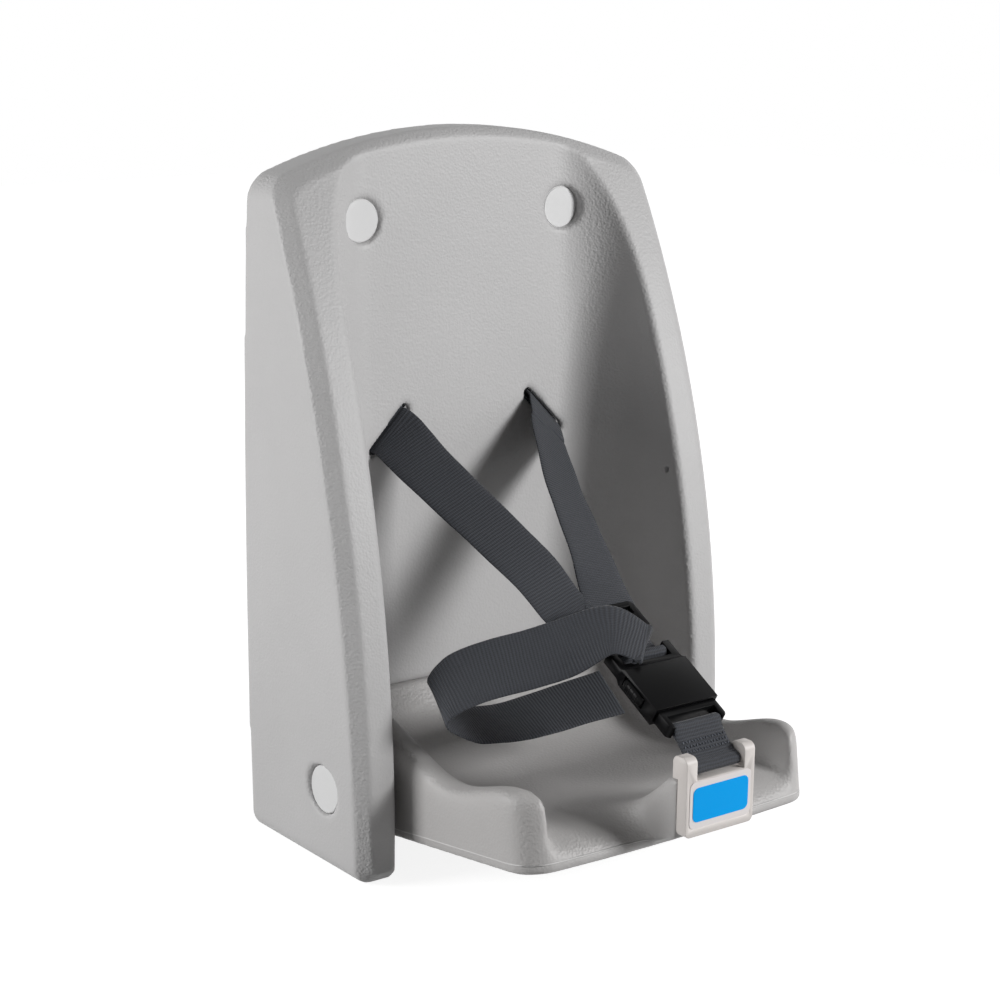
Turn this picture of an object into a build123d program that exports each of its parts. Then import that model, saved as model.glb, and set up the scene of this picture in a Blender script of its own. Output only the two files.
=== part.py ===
from build123d import *
from math import atan, cos, degrees, radians, sin, sqrt, tan
import os

os.makedirs("parts", exist_ok=True)

# Wall mounted child seat, open for use, in millimetres
# X is to the right seen from the front, the front faces -Y, the wall is Y = 0.
# The origin is the centre of the four wall screws. Heights are counted from the shell's bottom edge.

# Back shell
SHELL_WIDTH = 311.0
FOOT_NARROWING = 7.0
SHOULDER_NARROWING = 9.0
SHELL_HEIGHT = 467.0
SHOULDER_DROP = 30.0
BELLY_HEIGHT_SHARE = 0.471
TOP_CORNER_RADIUS = 22.0
FOOT_CORNER_RADIUS = 12.0
WING_FOOT_DEPTH = 134.0
WING_MID_DEPTH = 109.5
WING_MID_HEIGHT_SHARE = 0.514
WING_TOP_DEPTH = 30.0
WING_TOP_DROP = 17.0
WING_TOP_RADIUS = 70.0
OUTER_BEVEL = 8.5
INNER_EDGE_RADIUS = 5.0
PANEL_FOOT_DEPTH = 48.4
PANEL_RISE_SHARE = 0.045
WING_BASE_WIDTH = 37.0
CHANNEL_DRAFT = 4.6
PANEL_BLEND_RADIUS = 45.0

# Wall screw holes and caps
HOLE_SPACING_X = 165.0
UPPER_HOLE_DROP = 57.4
LOWER_HOLE_HEIGHT = 15.9
HOLE_RADIUS = 3.3
HOLE_WEB = 9.0
SCREW_RECESS_RADIUS = 8.5
CAP_RADIUS = 14.2
CAP_THICKNESS = 3.0
CAP_SUNK = 2.0
CAP_GAP = 0.4
CAP_EDGE_BEVEL = 0.7
CAP_PLUG_LENGTH = 5.0

# Strap slots and anchors
SLOT_LENGTH = 43.8
SLOT_WIDTH = 7.0
SLOT_CENTRE_X = 64.7
SLOT_CENTRE_HEIGHT = 270.5
SLOT_ANGLE = 45.0
SLOT_SKIN = 6.0
ANCHOR_POCKET_LENGTH = 66.0
ANCHOR_POCKET_WIDTH = 28.0
ANCHOR_POCKET_RADIUS = 6.0

# Hinge
HINGE_DEPTH = 89.0
HINGE_HEIGHT = 54.5
ROD_RADIUS = 6.35
ROD_RUNNING_GAP = 0.05
BUSH_WALL = 2.6
BUSH_SLEEVE = 16.0
BUSH_FLANGE_RADIUS = 15.0
BUSH_SIDE_GAP = 0.4
BARREL_GAP = 2.0
POCKET_SIDE_STEP = 2.0
SIDE_RECESS_DEPTH = 10.0
SIDE_CAP_RADIUS = 16.0
SIDE_CAP_THICKNESS = 2.4
SIDE_CAP_SUNK = 0.6
SIDE_CAP_GAP = 0.5
ROD_CLIP_RADIUS = 11.0
ROD_CLIP_THICKNESS = 3.0
ROD_CHAMFER = 0.8
VENT_RADIUS = 2.0
VENT_DEPTH = 100.0
VENT_HEIGHT = 232.5
VENT_LENGTH = 12.0

# Seat pan, with its own heights above its bottom plane and lengths ahead of the hinge
PAN_TILT = 7.9
PAN_SIDE_GAP = 0.5
PAN_REACH = 174.0
PAN_FRONT_BOW = 6.0
PAN_CORNER_RADIUS = 22.0
PAN_HINGE_HEIGHT = 35.1
PAN_BARREL_RADIUS = 60.5
PAN_RIM_BACK = 34.6
PAN_FLOOR_HEIGHT = 28.0
PAN_BACK_RADIUS = 95.0
PAN_BACK_START = 60.0
BACK_MID_SHARE = 0.125
PAN_LIP_WIDTH = 14.0
PAN_LIP_DRAFT = 12.0
PAN_FLOOR_RADIUS = 18.0
PAN_BOTTOM_RADIUS = 4.0
PAN_CREST_RADIUS = 5.0
LIP_SHOULDER_REACH = 12.0
LIP_SHOULDER_HEIGHT = 79.0
LIP_SLOPE_REACH = 44.0
LIP_SLOPE_HEIGHT = 62.5
LIP_DIP_REACH = 87.0
LIP_DIP_HEIGHT = 44.4
LIP_FRONT_REACH = 145.0
LIP_FRONT_HEIGHT = 52.0
LIP_END_HEIGHT = 46.0
LEG_SLOPE_START = 128.0
LEG_SLOPE_END_HEIGHT = 7.0
LEG_SLOPE_BOW = 5.0
CHEEK_WIDTH = 19.0
POST_FOOT_RADIUS = 14.0
STOP_WIDTH = 30.0
STOP_CENTRE_X = 38.0
STOP_HEIGHT = 12.0
STOP_PAD_THICKNESS = 2.5
STOP_GAP = 0.3

# Front post with its cover and label
POST_HALF_WIDTH = 27.7
POST_OVERHANG = 25.0
POST_ROOT_LENGTH = 56.0
POST_ROOT_HEIGHT = 60.0
POST_TOP_LENGTH = 11.0
POST_TOP_HEIGHT = 95.0
POST_UNDER_LENGTH = 30.0
POST_UNDER_HEIGHT = 44.0
POST_FRONT_HEIGHT = 57.0
POST_BACK_BOW = 4.0
COVER_GROOVE = 1.2
SPIGOT_MARGIN = 3.6
COVER_THICKNESS = 8.4
COVER_FOOT_HEIGHT = 60.0
COVER_TOP_HEIGHT = 96.0
EAR_GAP = 38.8
EAR_TOP_HEIGHT = 111.0
EAR_LENGTH = 13.1
EAR_RADIUS = 4.5
LABEL_WIDTH = 50.0
LABEL_HEIGHT = 30.0
LABEL_CENTRE_HEIGHT = 80.5
LABEL_THICKNESS = 0.8
LABEL_CORNER_RADIUS = 4.0
LABEL_FIELD_WIDTH = 45.0
LABEL_FIELD_HEIGHT = 22.0
LABEL_FIELD_THICKNESS = 0.3
LABEL_INLAY = 0.5

# Crotch strap and its pin
WEB_WIDTH = 38.0
WEB_THICKNESS = 1.6
PIN_RADIUS = 2.5
PIN_SETBACK = 7.2
PIN_HEIGHT = 101.4
PIN_SEAT_LENGTH = 6.0

# Side release buckle: lengths run along its own line, up from its centre to the slots
BUCKLE_SETBACK = 40.6
BUCKLE_RISE = 32.7
BUCKLE_TILT = 29.5
HOUSING_WIDTH = 50.0
HOUSING_THICKNESS = 13.0
HOUSING_START = -14.2
HOUSING_END = 39.0
HOUSING_WALL = 2.4
CAVITY_END = 21.0
TAIL_FRAME_START = 24.5
TAIL_FRAME_THICKNESS = 8.0
FRAME_BAR_RADIUS = 1.8
FRAME_BAR_PLACE = 34.5
FRAME_WINDOW_START = 27.5
SIDE_WINDOW_START = -3.0
SIDE_WINDOW_END = 18.5
WEB_SLOT_GAP = 0.4
BUCKLE_GAP = 0.3
INSERT_WIDTH = 46.0
INSERT_THICKNESS = 9.0
INSERT_START = -29.0
INSERT_BODY_START = -19.0
INSERT_BAR_RADIUS = 2.2
INSERT_BAR_PLACE = -26.0
GUIDE_WIDTH = 9.0
GUIDE_THICKNESS = 4.0
GUIDE_END = 17.0
PRONG_ARM_WIDTH = 3.2
PRONG_THICKNESS = 6.4
PRONG_INNER_X = 15.0
PRONG_HEAD_START = -1.5
PRONG_HEAD_END = 17.0
PRONG_HEAD_OUT = 25.4
PRONG_TIP_X = 19.5

# Adjusting strap and slide
WEB_END = 78.0
GLIDE_PLACE = 66.5
GLIDE_WIDTH = 48.0
GLIDE_LENGTH = 25.0
GLIDE_THICKNESS = 3.4
GLIDE_WINDOW = 6.2
GLIDE_BAR = 4.0
GLIDE_CORNER_RADIUS = 4.0

# Shoulder straps
STRAP_END_PLACE = 58.0
STRAP_BEND_DEPTH = 8.0
STRAP_BEND_DROP = 5.0
STRAP_TURN_SHARES = (0.12, 0.28, 0.44, 0.60, 0.80)
STRAP_LAYER_GAP = 0.9
TAIL_LIFT = 0.6
TAIL_ROUTE = (
    ((-60.0, 168.0, 150.0), (-1, 0.25, -0.45), (0, 0.62, 0.78)),
    ((-90.0, 157.0, 131.0), (-0.9, 0.5, -0.5), (0, 0.42, 0.91)),
    ((-101.0, 146.0, 118.0), (-0.1, 0.9, -0.5), (0.1, 0.45, 0.88)),
    ((-90.0, 137.0, 108.0), (0.95, 0.25, -0.2), (0.1, 0.4, 0.9)),
    ((-45.0, 141.0, 102.0), (1, -0.1, -0.02), (0, 0.4, 0.91)),
    ((35.0, 152.0, 102.0), (1, -0.12, 0), (0, 0.35, 0.93)),
)
ANCHOR_ROD_RADIUS = 4.0
ANCHOR_ROD_LENGTH = 54.0
ANCHOR_GAP = 0.1

# One overrun for every cut, and one margin for picking edges by their place
OVERRUN = 4.0
PICK_MARGIN = 0.5

# Places worked out from the sizes
UPPER_HOLE_HEIGHT = SHELL_HEIGHT - UPPER_HOLE_DROP
BASE_Z = -(LOWER_HOLE_HEIGHT + UPPER_HOLE_HEIGHT) / 2
PANEL_LEAN = degrees(atan(PANEL_RISE_SHARE))
SHOULDER_HEIGHT = SHELL_HEIGHT - SHOULDER_DROP
BELLY_HEIGHT = SHELL_HEIGHT * BELLY_HEIGHT_SHARE
WING_MID_HEIGHT = SHELL_HEIGHT * WING_MID_HEIGHT_SHARE
WING_TOP_HEIGHT = SHELL_HEIGHT - WING_TOP_DROP
CHANNEL_HALF_WIDTH = SHELL_WIDTH / 2 - WING_BASE_WIDTH
POCKET_HALF_WIDTH = CHANNEL_HALF_WIDTH + POCKET_SIDE_STEP
PAN_HALF_WIDTH = CHANNEL_HALF_WIDTH - PAN_SIDE_GAP
POST_FRONT_DEPTH = HINGE_DEPTH + PAN_REACH + POST_OVERHANG
POST_BACK_DEPTH = POST_FRONT_DEPTH - POST_TOP_LENGTH
POST_ROOT_DEPTH = POST_FRONT_DEPTH - POST_ROOT_LENGTH
POST_UNDER_DEPTH = POST_FRONT_DEPTH - POST_UNDER_LENGTH
COVER_BACK_DEPTH = POST_FRONT_DEPTH + COVER_GROOVE
COVER_FRONT_DEPTH = COVER_BACK_DEPTH + COVER_THICKNESS
PIN_DEPTH = COVER_FRONT_DEPTH - PIN_SETBACK
BUCKLE_DEPTH = PIN_DEPTH - BUCKLE_SETBACK
BUCKLE_HEIGHT = PIN_HEIGHT + BUCKLE_RISE
POCKET_RADIUS = PAN_BARREL_RADIUS + BARREL_GAP
POCKET_BACK_DEPTH = HINGE_DEPTH - POCKET_RADIUS
UPPER = SHELL_HEIGHT / 2


def at(height):
    """Z of a height above the shell's bottom edge."""
    return BASE_Z + height


def side(depth, height):
    """Point of a side profile, from its depth off the wall and its height."""
    return (-depth, at(height))


def panel_depth(height):
    """Depth of the back panel's face at a height."""
    return PANEL_FOOT_DEPTH - PANEL_RISE_SHARE * height


# Sitting space between the wings: a channel that leans with the panel
PANEL_PLANE = Plane(
    origin=(0, -PANEL_FOOT_DEPTH, BASE_Z),
    x_dir=(1, 0, 0),
    z_dir=(0, sin(radians(PANEL_LEAN)), cos(radians(PANEL_LEAN))),
)
flare = WING_FOOT_DEPTH * tan(radians(CHANNEL_DRAFT))
with BuildPart() as sitting_space:
    with BuildSketch(PANEL_PLANE.offset(-UPPER)):
        with BuildLine():
            Polyline(
                (-CHANNEL_HALF_WIDTH - flare, -WING_FOOT_DEPTH),
                (-CHANNEL_HALF_WIDTH, 0),
                (CHANNEL_HALF_WIDTH, 0),
                (CHANNEL_HALF_WIDTH + flare, -WING_FOOT_DEPTH),
                close=True,
            )
        make_face()
        fillet(vertices().group_by(Axis.Y)[-1], PANEL_BLEND_RADIUS)
    extrude(amount=SHELL_HEIGHT * 2)

# Pocket that the back of the seat pan turns in
with BuildPart() as pan_pocket:
    with BuildSketch(Plane.YZ):
        with BuildLine():
            Polyline(
                side(POCKET_BACK_DEPTH, HINGE_HEIGHT),
                side(POCKET_BACK_DEPTH, -UPPER),
                side(SHELL_WIDTH, -UPPER),
                side(SHELL_WIDTH, HINGE_HEIGHT),
                close=True,
            )
        make_face()
        with Locations(side(HINGE_DEPTH, HINGE_HEIGHT)):
            Circle(POCKET_RADIUS)
    extrude(amount=POCKET_HALF_WIDTH, both=True)

# Back shell: one moulding with a wing on each side
foot_half = (SHELL_WIDTH - FOOT_NARROWING) / 2
belly_half = SHELL_WIDTH / 2
shoulder_half = (SHELL_WIDTH - SHOULDER_NARROWING) / 2
cap_seat_depth = panel_depth(UPPER_HOLE_HEIGHT) - CAP_SUNK - CAP_THICKNESS
slot_skin_back = panel_depth(SLOT_CENTRE_HEIGHT) - SLOT_SKIN
side_recess_floor = foot_half - SIDE_RECESS_DEPTH

with BuildPart() as back_shell:
    with BuildSketch(Plane.XZ):
        with BuildLine():
            ThreePointArc(
                (foot_half, BASE_Z), (belly_half, at(BELLY_HEIGHT)), (shoulder_half, at(SHOULDER_HEIGHT))
            )
            ThreePointArc(
                (shoulder_half, at(SHOULDER_HEIGHT)),
                (0, at(SHELL_HEIGHT)),
                (-shoulder_half, at(SHOULDER_HEIGHT)),
            )
            ThreePointArc(
                (-shoulder_half, at(SHOULDER_HEIGHT)), (-belly_half, at(BELLY_HEIGHT)), (-foot_half, BASE_Z)
            )
            Line((-foot_half, BASE_Z), (foot_half, BASE_Z))
        make_face()
        fillet(vertices().group_by(Axis.Y)[-1], TOP_CORNER_RADIUS)
        fillet(vertices().group_by(Axis.Y)[0], FOOT_CORNER_RADIUS)
    extrude(amount=WING_FOOT_DEPTH + OVERRUN)
    with BuildSketch(Plane.YZ):
        with BuildLine():
            ThreePointArc(
                side(WING_FOOT_DEPTH, 0),
                side(WING_MID_DEPTH, WING_MID_HEIGHT),
                side(WING_TOP_DEPTH, WING_TOP_HEIGHT),
            )
            Polyline(
                side(WING_TOP_DEPTH, WING_TOP_HEIGHT),
                side(WING_TOP_DEPTH, SHELL_HEIGHT + OVERRUN),
                side(0, SHELL_HEIGHT + OVERRUN),
                side(0, 0),
                side(WING_FOOT_DEPTH, 0),
            )
        make_face()
        fillet(vertices().sort_by_distance(side(WING_TOP_DEPTH, WING_TOP_HEIGHT))[0], WING_TOP_RADIUS)
    extrude(amount=SHELL_WIDTH, both=True, mode=Mode.INTERSECT)
    wall_edges = faces().filter_by(Plane.XZ).sort_by(Axis.Y)[-1].edges()
    around = faces().filter_by(lambda f: any(e.is_same(w) for e in f.edges() for w in wall_edges))
    front_rim = around.edges().filter_by(
        lambda e: e.center().Y < -WING_TOP_DEPTH / 2 and e.center().Z > BASE_Z + PICK_MARGIN
    )
    front_rim = front_rim.filter_by(lambda e: sum(e.is_same(g) for f in around for g in f.edges()) == 1)
    chamfer(front_rim, OUTER_BEVEL)
    add(sitting_space.part, mode=Mode.SUBTRACT)
    add(pan_pocket.part, mode=Mode.SUBTRACT)
    inner_edges = edges().filter_by(
        lambda e: CHANNEL_HALF_WIDTH - OVERRUN < abs(e.center().X) < foot_half
        and e.center().Y < -WING_MID_DEPTH / 2
        and e.length > SHELL_HEIGHT / 2
        and abs(e.center().X) < foot_half - OUTER_BEVEL * 2
    )
    fillet(inner_edges, INNER_EDGE_RADIUS)
    with BuildSketch(Plane.XZ):
        with Locations((0, at((LOWER_HOLE_HEIGHT + UPPER_HOLE_HEIGHT) / 2))):
            with GridLocations(HOLE_SPACING_X, UPPER_HOLE_HEIGHT - LOWER_HOLE_HEIGHT, 2, 2):
                Circle(HOLE_RADIUS)
    extrude(amount=PANEL_FOOT_DEPTH, mode=Mode.SUBTRACT)
    with BuildSketch(Plane.XZ.offset(HOLE_WEB)):
        with Locations((0, at((LOWER_HOLE_HEIGHT + UPPER_HOLE_HEIGHT) / 2))):
            with GridLocations(HOLE_SPACING_X, UPPER_HOLE_HEIGHT - LOWER_HOLE_HEIGHT, 2, 2):
                Circle(SCREW_RECESS_RADIUS)
    extrude(amount=PANEL_FOOT_DEPTH, mode=Mode.SUBTRACT)
    with BuildSketch(Plane.XZ.offset(cap_seat_depth)):
        with Locations((0, at(UPPER_HOLE_HEIGHT))):
            with GridLocations(HOLE_SPACING_X, 0, 2, 1):
                Circle(CAP_RADIUS + CAP_GAP)
    extrude(amount=PANEL_FOOT_DEPTH, mode=Mode.SUBTRACT)
    for sign in (-1, 1):
        with BuildSketch(Plane.XZ):
            with Locations(Location((sign * SLOT_CENTRE_X, at(SLOT_CENTRE_HEIGHT)), -sign * SLOT_ANGLE)):
                SlotOverall(SLOT_LENGTH, SLOT_WIDTH)
        extrude(amount=WING_FOOT_DEPTH, mode=Mode.SUBTRACT)
        with BuildSketch(Plane.XZ):
            with Locations(Location((sign * SLOT_CENTRE_X, at(SLOT_CENTRE_HEIGHT)), -sign * SLOT_ANGLE)):
                RectangleRounded(ANCHOR_POCKET_LENGTH, ANCHOR_POCKET_WIDTH, ANCHOR_POCKET_RADIUS)
        extrude(amount=slot_skin_back, mode=Mode.SUBTRACT)
    with BuildSketch(Plane.YZ):
        with Locations(side(HINGE_DEPTH, HINGE_HEIGHT)):
            Circle(ROD_RADIUS + ROD_RUNNING_GAP)
    extrude(amount=SHELL_WIDTH, both=True, mode=Mode.SUBTRACT)
    for sign in (-1, 1):
        with BuildSketch(Plane.YZ.offset(sign * side_recess_floor)):
            with Locations(side(HINGE_DEPTH, HINGE_HEIGHT)):
                Circle(SIDE_CAP_RADIUS + SIDE_CAP_GAP)
        extrude(amount=sign * SHELL_WIDTH, mode=Mode.SUBTRACT)
    with BuildSketch(Plane.YZ.offset(CHANNEL_HALF_WIDTH - OVERRUN)):
        with Locations(side(VENT_DEPTH, VENT_HEIGHT)):
            Circle(VENT_RADIUS)
    extrude(amount=VENT_LENGTH, mode=Mode.SUBTRACT)

back_shell.part.label = "back_shell"
export_step(back_shell.part, "parts/back_shell.step")
print("back_shell", back_shell.part.volume, len(back_shell.part.solids()))

# Planes of the seat pan: its side profile, its plan and its cross section
tilt_sin = sin(radians(PAN_TILT))
tilt_cos = cos(radians(PAN_TILT))
pan_origin = (
    0,
    -HINGE_DEPTH - PAN_HINGE_HEIGHT * tilt_sin,
    at(HINGE_HEIGHT) - PAN_HINGE_HEIGHT * tilt_cos,
)
PAN_SIDE = Plane(origin=pan_origin, x_dir=(0, -tilt_cos, tilt_sin), z_dir=(-1, 0, 0))
PAN_PLAN = Plane(origin=pan_origin, x_dir=(1, 0, 0), z_dir=(0, tilt_sin, tilt_cos))
PAN_SECTION = Plane(origin=pan_origin, x_dir=(1, 0, 0), z_dir=(0, -tilt_cos, tilt_sin))
PAN_UP = Axis(pan_origin, (0, tilt_sin, tilt_cos))
barrel_foot = sqrt(PAN_BARREL_RADIUS**2 - PAN_HINGE_HEIGHT**2)
rim_height = PAN_HINGE_HEIGHT + sqrt(PAN_BARREL_RADIUS**2 - PAN_RIM_BACK**2)
back_centre_height = PAN_FLOOR_HEIGHT + PAN_BACK_RADIUS
pan_corner_reach = PAN_REACH - PAN_FRONT_BOW


def back_line(reach):
    """Height of the pan's curved back rest over a reach ahead of the hinge."""
    return back_centre_height - sqrt(PAN_BACK_RADIUS**2 - (PAN_BACK_START - reach) ** 2)


# Hollow of the seat: floor, curved back rest and drafted sides
hollow_half = PAN_HALF_WIDTH - PAN_LIP_WIDTH
hollow_top = rim_height + OVERRUN
hollow_foot_half = hollow_half - (hollow_top - PAN_FLOOR_HEIGHT) * tan(radians(PAN_LIP_DRAFT)) / 2
back_mid = -PAN_RIM_BACK * BACK_MID_SHARE
with BuildPart() as seat_hollow:
    with BuildSketch(PAN_SIDE):
        with BuildLine():
            back_start = (PAN_BACK_START - PAN_BACK_RADIUS, back_centre_height)
            ThreePointArc(back_start, (back_mid, back_line(back_mid)), (PAN_BACK_START, PAN_FLOOR_HEIGHT))
            Polyline(
                (PAN_BACK_START, PAN_FLOOR_HEIGHT),
                (PAN_REACH * 2, PAN_FLOOR_HEIGHT),
                (PAN_REACH * 2, back_centre_height),
                back_start,
            )
        make_face()
    extrude(amount=PAN_HALF_WIDTH, both=True)
    with BuildSketch(PAN_SECTION.offset(-PAN_BARREL_RADIUS)):
        with BuildLine():
            Polyline(
                (-hollow_foot_half, PAN_FLOOR_HEIGHT),
                (hollow_foot_half, PAN_FLOOR_HEIGHT),
                (hollow_half, hollow_top),
                (hollow_half, back_centre_height),
                (-hollow_half, back_centre_height),
                (-hollow_half, hollow_top),
                close=True,
            )
        make_face()
        fillet(vertices().group_by(Axis.Y)[0], PAN_FLOOR_RADIUS)
    extrude(amount=SHELL_HEIGHT, mode=Mode.INTERSECT)

# Slope in front of the floor that the legs lie over, between the cheeks
slope_mid_reach = (LEG_SLOPE_START + PAN_REACH) / 2
slope_mid_height = (PAN_FLOOR_HEIGHT + LEG_SLOPE_END_HEIGHT) / 2 + LEG_SLOPE_BOW
with BuildPart() as leg_slope:
    with BuildSketch(PAN_SIDE):
        with BuildLine():
            ThreePointArc(
                (LEG_SLOPE_START, PAN_FLOOR_HEIGHT),
                (slope_mid_reach, slope_mid_height),
                (PAN_REACH, LEG_SLOPE_END_HEIGHT),
            )
            Polyline(
                (PAN_REACH, LEG_SLOPE_END_HEIGHT),
                (PAN_REACH + OVERRUN, LEG_SLOPE_END_HEIGHT),
                (PAN_REACH + OVERRUN, back_centre_height),
                (LEG_SLOPE_START, back_centre_height),
                (LEG_SLOPE_START, PAN_FLOOR_HEIGHT),
            )
        make_face()
    extrude(amount=PAN_HALF_WIDTH - CHEEK_WIDTH, both=True)

# Seat pan: a thick moulded tray that turns on the hinge rod
post_mid_depth = (POST_ROOT_DEPTH + POST_BACK_DEPTH) / 2 + POST_BACK_BOW
bush_radius = ROD_RADIUS + ROD_RUNNING_GAP + BUSH_WALL
stop_face_depth = POCKET_BACK_DEPTH + STOP_GAP + STOP_PAD_THICKNESS
stop_foot_depth = HINGE_DEPTH - barrel_foot
stop_low = HINGE_HEIGHT - PAN_HINGE_HEIGHT * tilt_cos - barrel_foot * tilt_sin
rod_half = side_recess_floor + ROD_CLIP_THICKNESS
with BuildPart() as seat_pan:
    with BuildSketch(PAN_SIDE):
        with BuildLine():
            ThreePointArc(
                (-barrel_foot, 0), (-PAN_BARREL_RADIUS, PAN_HINGE_HEIGHT), (-PAN_RIM_BACK, rim_height)
            )
            Spline(
                (-PAN_RIM_BACK, rim_height),
                (LIP_SHOULDER_REACH, LIP_SHOULDER_HEIGHT),
                (LIP_SLOPE_REACH, LIP_SLOPE_HEIGHT),
                (LIP_DIP_REACH, LIP_DIP_HEIGHT),
                (LIP_FRONT_REACH, LIP_FRONT_HEIGHT),
                (PAN_REACH, LIP_END_HEIGHT),
            )
            Polyline((PAN_REACH, LIP_END_HEIGHT), (PAN_REACH, 0), (-barrel_foot, 0))
        make_face()
    extrude(amount=PAN_HALF_WIDTH, both=True)
    with BuildSketch(PAN_PLAN):
        with BuildLine():
            Polyline(
                (-PAN_HALF_WIDTH, -pan_corner_reach),
                (-PAN_HALF_WIDTH, PAN_BARREL_RADIUS),
                (PAN_HALF_WIDTH, PAN_BARREL_RADIUS),
                (PAN_HALF_WIDTH, -pan_corner_reach),
            )
            ThreePointArc(
                (PAN_HALF_WIDTH, -pan_corner_reach), (0, -PAN_REACH), (-PAN_HALF_WIDTH, -pan_corner_reach)
            )
        make_face()
        fillet(vertices().group_by(Axis.Y)[0], PAN_CORNER_RADIUS)
    extrude(amount=back_centre_height, mode=Mode.INTERSECT)
    fillet(faces().sort_by(PAN_UP)[0].edges().sort_by(Axis.Y)[:-1], PAN_BOTTOM_RADIUS)
    crest = edges().filter_by(GeomType.BSPLINE).filter_by(
        lambda e: abs(e.center().X) > PAN_HALF_WIDTH - PICK_MARGIN
    )
    fillet(crest, PAN_CREST_RADIUS)
    add(seat_hollow.part, mode=Mode.SUBTRACT)
    add(leg_slope.part, mode=Mode.SUBTRACT)
    with BuildSketch(Plane.YZ):
        with BuildLine():
            ThreePointArc(
                side(POST_ROOT_DEPTH, POST_ROOT_HEIGHT),
                side(post_mid_depth, (POST_ROOT_HEIGHT + POST_TOP_HEIGHT) / 2),
                side(POST_BACK_DEPTH, POST_TOP_HEIGHT),
            )
            Polyline(
                side(POST_BACK_DEPTH, POST_TOP_HEIGHT),
                side(POST_FRONT_DEPTH, POST_TOP_HEIGHT),
                side(POST_FRONT_DEPTH, POST_FRONT_HEIGHT),
                side(POST_UNDER_DEPTH, POST_UNDER_HEIGHT),
                side(POST_ROOT_DEPTH, POST_UNDER_HEIGHT),
                side(POST_ROOT_DEPTH, POST_ROOT_HEIGHT),
            )
        make_face()
    extrude(amount=POST_HALF_WIDTH, both=True)
    post_sides = edges().filter_by(GeomType.CIRCLE).filter_by(
        lambda e: abs(abs(e.center().X) - POST_HALF_WIDTH) < PICK_MARGIN
    )
    post_root = edges().filter_by(GeomType.LINE).filter_by(
        lambda e: abs(e.length - POST_HALF_WIDTH * 2) < PICK_MARGIN
    )
    fillet(post_sides.sort_by(Axis.Z)[:2] + post_root.sort_by(Axis.Y)[-1:], POST_FOOT_RADIUS)
    with BuildSketch(Plane.YZ):
        with Locations(side(HINGE_DEPTH, HINGE_HEIGHT)):
            Circle(ROD_RADIUS + ROD_RUNNING_GAP)
    extrude(amount=PAN_HALF_WIDTH, both=True, mode=Mode.SUBTRACT)
    for sign in (-1, 1):
        with BuildSketch(Plane.YZ.offset(sign * (PAN_HALF_WIDTH - BUSH_SLEEVE))):
            with Locations(side(HINGE_DEPTH, HINGE_HEIGHT)):
                Circle(bush_radius)
        extrude(amount=sign * BUSH_SLEEVE * 2, mode=Mode.SUBTRACT)
    for sign in (-1, 1):
        with BuildSketch(Plane.YZ.offset(sign * STOP_CENTRE_X)):
            with BuildLine():
                Polyline(
                    side(stop_foot_depth + BARREL_GAP * 2, stop_low),
                    side(stop_face_depth, stop_low),
                    side(stop_face_depth, stop_low + STOP_HEIGHT),
                    side(stop_foot_depth, stop_low + STOP_HEIGHT),
                    close=True,
                )
            make_face()
        extrude(amount=STOP_WIDTH / 2, both=True)

seat_pan.part.label = "seat_pan"
export_step(seat_pan.part, "parts/seat_pan.step")
print("seat_pan", seat_pan.part.volume, len(seat_pan.part.solids()))

# Rubber stop pads on the heels of the pan, which hold it level against the shell
for sign, name in ((-1, "left_stop_pad"), (1, "right_stop_pad")):
    with BuildPart() as stop_pad:
        with BuildSketch(Plane.XZ.offset(POCKET_BACK_DEPTH + STOP_GAP)):
            with Locations((sign * STOP_CENTRE_X, at(stop_low + STOP_HEIGHT / 2))):
                RectangleRounded(STOP_WIDTH - OVERRUN, STOP_HEIGHT - OVERRUN / 2, STOP_PAD_THICKNESS)
        extrude(amount=STOP_PAD_THICKNESS)
    stop_pad.part.label = name
    export_step(stop_pad.part, f"parts/{name}.step")

# Hinge rod through both wings and the pan
with BuildPart() as hinge_rod:
    with BuildSketch(Plane.YZ):
        with Locations(side(HINGE_DEPTH, HINGE_HEIGHT)):
            Circle(ROD_RADIUS)
    extrude(amount=rod_half, both=True)
    chamfer(edges().filter_by(GeomType.CIRCLE), ROD_CHAMFER)
hinge_rod.part.label = "hinge_rod"
export_step(hinge_rod.part, "parts/hinge_rod.step")

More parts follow.
